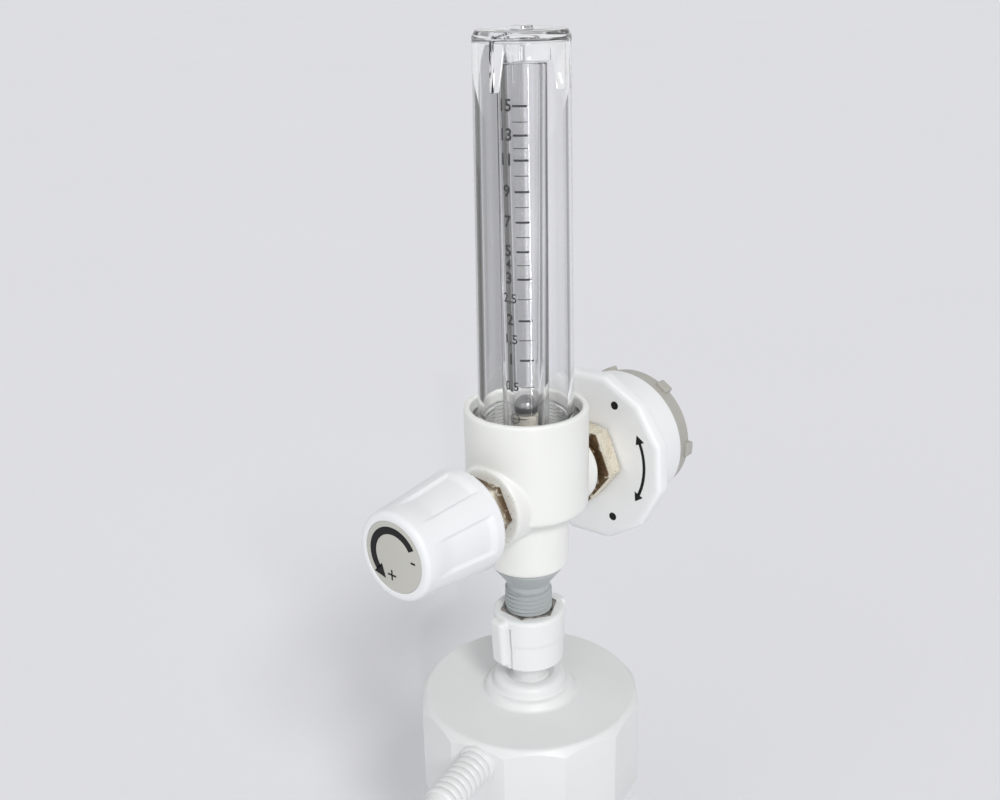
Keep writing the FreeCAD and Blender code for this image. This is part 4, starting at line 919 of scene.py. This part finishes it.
# %% Arrows on the flange
MARK_RADIUS = 21.0
flange_face = collar_base - 0.05
arrows = []
for side in (0, 180):
    arrows += [flat_arc("twist_arc", MARK_RADIUS - 0.5, MARK_RADIUS + 0.5, side - 24, 48, 0),
               arrow_head("twist_head", MARK_RADIUS, side + 26, 1.9, 0),
               arrow_head("twist_tail", MARK_RADIUS, side - 26, 1.9, 0, forward=-1)]
    for turn in (side - 62, side + 62):
        mark = flat_arc("index_mark", 0, 1.3, 0, 360, 0)
        arrows.append(settle(mark, Matrix.Translation(on_circle(MARK_RADIUS, turn, 0))))
twist = joined("twist_arrow_print", arrows)
for vertex in twist.data.vertices:
    vertex.co.z = flange_face * MM + 0.385 * MM
inked(twist, -0.03)
face_back(twist)
wear(twist, ink, "lock_ring")

# %% [markdown]
# ## The bayonet ring
#
# The grey ring closes the sleeve. Six lugs stand out at its far edge and lock into the outlet.
# One lug is made and copied round the ring, so all are the same.

# %% Ring and lugs
ring_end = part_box("bayonet_ring")[1].y / MM
ring = turned("bayonet_ring_moulded", [
    (15.5, ring_end - 10.5), (19.25, ring_end - 10.5), (19.25, ring_end - 7.0),
    (21.3, ring_end - 7.0, 0.4), (20.2, ring_end, 0.7), (COLLAR_HOLE, ring_end, 0.3),
    (COLLAR_HOLE, ring_end - 3.0), (15.5, ring_end - 3.0)], steps=144)
LUGS, LUG_TURN = 6, 3
for number in range(LUGS):
    lug = block((5.3, 4.4, 3.6), (19.15, 0, ring_end - 1.8))
    apply_modifier(lug, "BEVEL", width=0.45 * MM, segments=3)
    settle(lug, spin_matrix(LUG_TURN + 360 / LUGS * number))
    combine(ring, lug, "UNION")
smooth_by_angle(ring, 35)
face_back(ring)
wear(ring, ring_grey, "lock_ring", ["bayonet_ring"])


# %% [markdown]
# ## The wing nut
#
# The white nut is turned by hand on two thick wings. Moulded wings flow into the barrel, so
# barrel and wings are overlapped, remeshed to one skin and smoothed like the body. Only then come
# the crisp cuts: a narrow groove on each side of a wing and the hexagonal pocket for the metal
# insert.

# %% Wing nut and its pocket
NUT_TURN, INSERT_TURN = -103.2, -21.0
WING_TURNS = (0, 180)
INSERT_BORE = 7.2
nut = turned("wing_nut_moulded", [
    (0, 0), (10.6, 0, 0.5), (10.65, 7.9), (10.9, 8.9), (10.9, 17.0, 1.3), (0, 17.0)],
    closed=False, steps=96)
for turn in WING_TURNS:
    wing = block((8.2, 6.2, 15.6), (9.1, 0, 8.6))
    bpy.ops.object.mode_set(mode="EDIT")
    mesh = bmesh.from_edit_mesh(wing.data)
    for corner in mesh.verts:
        if corner.co.z < 5 * MM and corner.co.x > 9 * MM:
            corner.co.x -= 1.0 * MM
    bmesh.update_edit_mesh(wing.data)
    bpy.ops.object.mode_set(mode="OBJECT")
    apply_modifier(wing, "BEVEL", width=1.5 * MM, segments=4)
    settle(wing, spin_matrix(turn))
    combine(nut, wing, "UNION")
apply_modifier(nut, "REMESH", mode="VOXEL", voxel_size=0.24 * MM)
apply_modifier(nut, "SMOOTH", factor=0.5, iterations=5)
for turn in WING_TURNS:
    for side in (-3.7, 3.7):
        groove = block((4.2, 1.1, 15.2), (11.0, side, 6.6))
        settle(groove, spin_matrix(turn))
        combine(nut, groove, "DIFFERENCE")
combine(nut, prism("nut_pocket", 6, 8.95, 6.0, 19.0, INSERT_TURN), "DIFFERENCE")
combine(nut, prism("nut_cavity", 64, INSERT_BORE, 3.0, 6.5), "DIFFERENCE")
combine(nut, prism("nut_plate_hole", 64, 5.7, -2.0, 3.5), "DIFFERENCE")
smooth_by_angle(nut, 40)
stand(nut, nut_base, NUT_TURN)
wear(nut, nut_white, "wing_nut", ["wing_nut"])

insert = prism("wing_nut_insert_cut", 6, 8.9, 6.0, 17.5, INSERT_TURN)
combine(insert, prism("insert_bore", 64, INSERT_BORE, 4.0, 19.0), "DIFFERENCE")
ease_edges(insert, 0.2, 2, 25)
stand(insert, nut_base, NUT_TURN)
wear(insert, dull_insert, "wing_nut", ["wing_nut_insert"])


# %% [markdown]
# ## The humidifier's lid
#
# The lid is moulded with twelve sides, a bevelled top, a soft two-tier dome and the stem for the
# wing nut. As with the hexagons, the round form is turned first and overlapped with a
# twelve-sided bar, so the bevel leaves the same arcs over the flats. The hose barb is turned on
# its own axis and added.

# %% Turn the lid and give it its sides
LID_TURN, STEM = 11.3, 5.4
lid_top = 29.8
stem_top, lid_inside = lid_top + 15.1, lid_top - 3.3
lid = turned("lid_moulded", [
    (30.5, 0), (36.5, 0), (36.5, lid_top - 4.85), (32.4, lid_top, 1.6), (14.6, lid_top, 1.5),
    (13.2, lid_top + 2.4, 1.6), (11.6, lid_top + 2.4, 1.0), (10.9, lid_top + 6.1, 2.2),
    (7.6, lid_top + 6.1, 1.5), (STEM, lid_top + 4.2, 0.45), (STEM, stem_top, 0.6),
    (4.05, stem_top), (4.05, lid_top + 3.1), (2.5, lid_top + 3.1), (2.5, lid_top - 4.8),
    (3.05, lid_top - 4.8), (3.05, lid_top - 11.3), (5.6, lid_top - 11.3), (5.6, lid_inside, 0.6),
    (26.5, lid_inside, 0.8), (26.5, lid_top - 12), (30.5, lid_top - 12)], steps=180)
sides = prism("lid_sides", 12, 34.6, -1, lid_top + 17, 15)
combine(lid, sides, "INTERSECT")
ease_edges(lid, 0.7, 3, 22)

# %% [markdown]
# The barb's ribs are plain rings with a rounded back that let a hose on and hold it there.

# %% The hose barb
BARB_ROOT, BARB_PITCH, BARB_BORE = 34.6, 2.5, 2.4
ribs = []
for number in range(8):
    start = BARB_ROOT + BARB_PITCH * number
    ribs += [(4.7, start, 0.25), (5.15, start + 0.5, 0.5), (5.3, start + 1.25, 1.0),
             (5.15, start + 2.0, 0.5)]
barb = turned("hose_barb", [
    (BARB_BORE, 31.5), (5.9, 31.5), (5.9, BARB_ROOT, 0.5), *ribs, (4.7, 54.6, 0.3),
    (3.9, 57.2, 0.4), (BARB_BORE, 57.2, 0.3)], steps=96)
barb_height = lid_top - 6.8
face_front(barb, barb_height)
combine(lid, barb, "UNION")
drill = prism("barb_drill", 48, BARB_BORE, 20.0, 58.0)
face_front(drill, barb_height)
combine(lid, drill, "DIFFERENCE")
smooth_by_angle(lid, 35)
stand(lid, lid_base, LID_TURN)
wear(lid, lid_white, "humidifier_head", ["lid"])

# %% [markdown]
# ## The jar, its tube and the diffuser
#
# Below the photograph's edge the humidifier is finished plainly: a clear jar with a tube that
# leads the gas down to a porous stone under the water. The jar is turned with its wall, since a
# clear piece without an inside would bend light like a solid block.

# %% Jar, dip tube and diffuser
jar = turned("jar_moulded", [
    (0, 0), (28.8, 0, 3.5), (30.0, 96.8, 0.4), (27.8, 96.8, 0.4), (26.6, 3.0, 2.4), (0, 3.0)],
    closed=False, steps=180)
wear(jar, jar_clear, "jar", ["jar"])

dip_base, dip_top = low("dip_tube"), high("dip_tube")
dip = turned("dip_tube_clear", [
    (2.0, dip_base), (3.0, dip_base), (3.0, dip_top), (2.0, dip_top)], steps=64)
wear(dip, jar_clear, "humidifier_head", ["dip_tube"])

stone_base = low("diffuser")
stone = turned("diffuser_stone", [
    (0, 0), (5.6, 0, 1.2), (5.6, 12.0, 1.2), (3.05, 12.0), (3.05, 5.0), (0, 5.0)],
    closed=False, steps=64)
stand(stone, stone_base)
wear(stone, porous_white, "humidifier_head", ["diffuser"])

# %% [markdown]
# ## The solids that stay
#
# Seals, the spindle, the needle and the probe's rod are small and crisp, and mostly hidden, so
# the measured solids are good enough as they are. They only need their finishes.

# %% Finish the measured solids
STAYING = {
    "lid_gasket": seal_black, "nipple_washer": seal_black, "outlet_seal": seal_black,
    "shroud_seal": seal_black, "tube_seal": seal_black, "spindle_seal": seal_black,
    "probe_seal": seal_black, "inlet_nipple": nickel, "probe_stem": nickel, "spindle": brass,
    "needle": brass, "knob_screw": spring_steel, "collar_circlip": spring_steel,
    "inlet_filter": sintered, "ball_seat": pale_bush,
}
for name, finish in STAYING.items():
    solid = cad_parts[name]
    solid.data.materials.clear()
    solid.data.materials.append(finish.material)
print("measured solids kept:", len(STAYING))


# %% [markdown]
# ## Floor, light and camera
#
# The object stands on a plain pale floor under an even sky, with one soft sun from the right of
# the camera, where the photograph's flash was, a softer one from the left, and a small weak one
# that only puts glints on steel and clear edges. An empty room would leave the clear tubes with
# nothing to bend, so the floor carries dark streaks of painted shade by direction, seen only by
# refracted rays, which stand in for shaded surroundings in the clear tubes.

# %% Pale floor
bpy.ops.object.select_all(action="DESELECT")
bpy.ops.mesh.primitive_plane_add(size=60)
floor = bpy.context.object
floor.name = "studio_floor"
floor_finish = Finish("studio_paper", Roughness=0.9)
floor_finish.shader.inputs["Specular IOR Level"].default_value = 0.0
plain = floor_finish.colours(floor_finish.grain(400.0, 1.0), "F3F3F7", "F5F5F9")
turn = floor_finish.times(floor_finish.along("X"), floor_finish.along("Y"), "ARCTAN2")
from_behind = floor_finish.times(turn, math.radians(CAMERA_TURN), "ADD")
rays = floor_finish.node("ShaderNodeLightPath")
bent = rays.outputs["Is Transmission Ray"]
# Dark streaks of painted shade, seen only by refracted rays, stand in for shaded surroundings in
# the clear tubes.
PAINTED_SHADE_STREAKS = ((-1.35, -0.42, 0.95), (-0.36, 0.02, 0.5), (0.62, 1.1, 0.6), (1.5, 1.9, 0.75))
EDGE = 0.04
for first, last, strength in PAINTED_SHADE_STREAKS:
    into = floor_finish.band(from_behind, first - EDGE, first + EDGE)
    out = floor_finish.band(from_behind, last + EDGE, last - EDGE)
    painted_shade_streak = floor_finish.times(floor_finish.times(into, out), floor_finish.times(bent, strength))
    plain = floor_finish.colours(painted_shade_streak, "EEEEF2", "4A4A42", below=plain)
floor.data.materials.append(floor_finish.material)

# %% Even sky and a soft sun
world = bpy.data.worlds.new("studio_world")
bpy.context.scene.world = world
world.use_nodes = True
sky = world.node_tree
sky.nodes["Background"].inputs["Color"].default_value = (0.98, 0.985, 1.0, 1)
seen = sky.nodes.new("ShaderNodeLightPath")
either = sky.nodes.new("ShaderNodeMath")
either.operation = "MAXIMUM"
level = sky.nodes.new("ShaderNodeMapRange")
level.inputs["To Min"].default_value = 0.46
level.inputs["To Max"].default_value = 0.85
sky.links.new(seen.outputs["Is Glossy Ray"], either.inputs[0])
sky.links.new(seen.outputs["Is Transmission Ray"], either.inputs[1])
sky.links.new(either.outputs["Value"], level.inputs["Value"])
direct = sky.nodes.new("ShaderNodeMath")
direct.operation = "MULTIPLY_ADD"
direct.inputs[1].default_value = 0.28
sky.links.new(seen.outputs["Is Camera Ray"], direct.inputs[0])
sky.links.new(level.outputs["Result"], direct.inputs[2])
sky.links.new(direct.outputs["Value"], sky.nodes["Background"].inputs["Strength"])


def sun(name, bearing, height, power, softness):
    """A distant lamp, with its bearing measured from the front."""
    bpy.ops.object.light_add(type="SUN")
    light = bpy.context.object
    light.name = name
    light.data.energy = power
    light.data.angle = math.radians(softness)
    turn, rise = math.radians(bearing), math.radians(height)
    source = Vector((math.cos(rise) * math.sin(turn), -math.cos(rise) * math.cos(turn),
                     math.sin(rise)))
    light.rotation_euler = (-source).to_track_quat("-Z", "Y").to_euler()
    return light


sun("key_right_of_camera", CAMERA_TURN + 20, 40, 1.24, 14)
sun("fill_left_of_camera", CAMERA_TURN - 26, 28, 0.38, 50)
sun("glint", CAMERA_TURN + 6, 27, 0.26, 1)


STRIP_WIDTH, STRIP_LENGTH, STRIP_AWAY = 0.012, 0.28, 0.6


def strip(name, bearing, power):
    """A narrow upright lamp, which draws a thin bright line down every clear tube."""
    bpy.ops.object.light_add(type="AREA")
    light = bpy.context.object
    light.name = name
    light.data.shape = "RECTANGLE"
    light.data.size = STRIP_WIDTH
    light.data.size_y = STRIP_LENGTH
    light.data.energy = power
    light.visible_camera = False
    light.visible_diffuse = False
    turn = math.radians(bearing)
    light.location = (STRIP_AWAY * math.sin(turn), -STRIP_AWAY * math.cos(turn), STRIP_LENGTH / 2)
    light.rotation_euler = (math.radians(90), 0, turn)
    return light


strip("strip_right_of_camera", CAMERA_TURN + 14, 0.3)

# %% [markdown]
# The camera's place and lens were found by fitting the outlines of the body, knob, collar and lid
# in the photograph, so the picture's perspective is the same.

# %% Camera
bpy.ops.object.camera_add(location=(0.2010, -0.2456, 0.32715))
camera = bpy.context.object
camera.rotation_euler = (Matrix.Rotation(math.radians(CAMERA_TURN + 1.35), 3, "Z")
                         @ Matrix.Rotation(math.radians(90 - 20.83), 3, "X")
                         @ Matrix.Rotation(math.radians(-1.22), 3, "Z")).to_euler()
camera.data.sensor_width = 36
camera.data.lens = 42.77
camera.data.clip_start = 0.01
bpy.context.scene.camera = camera
bpy.context.scene.view_settings.view_transform = "Standard"
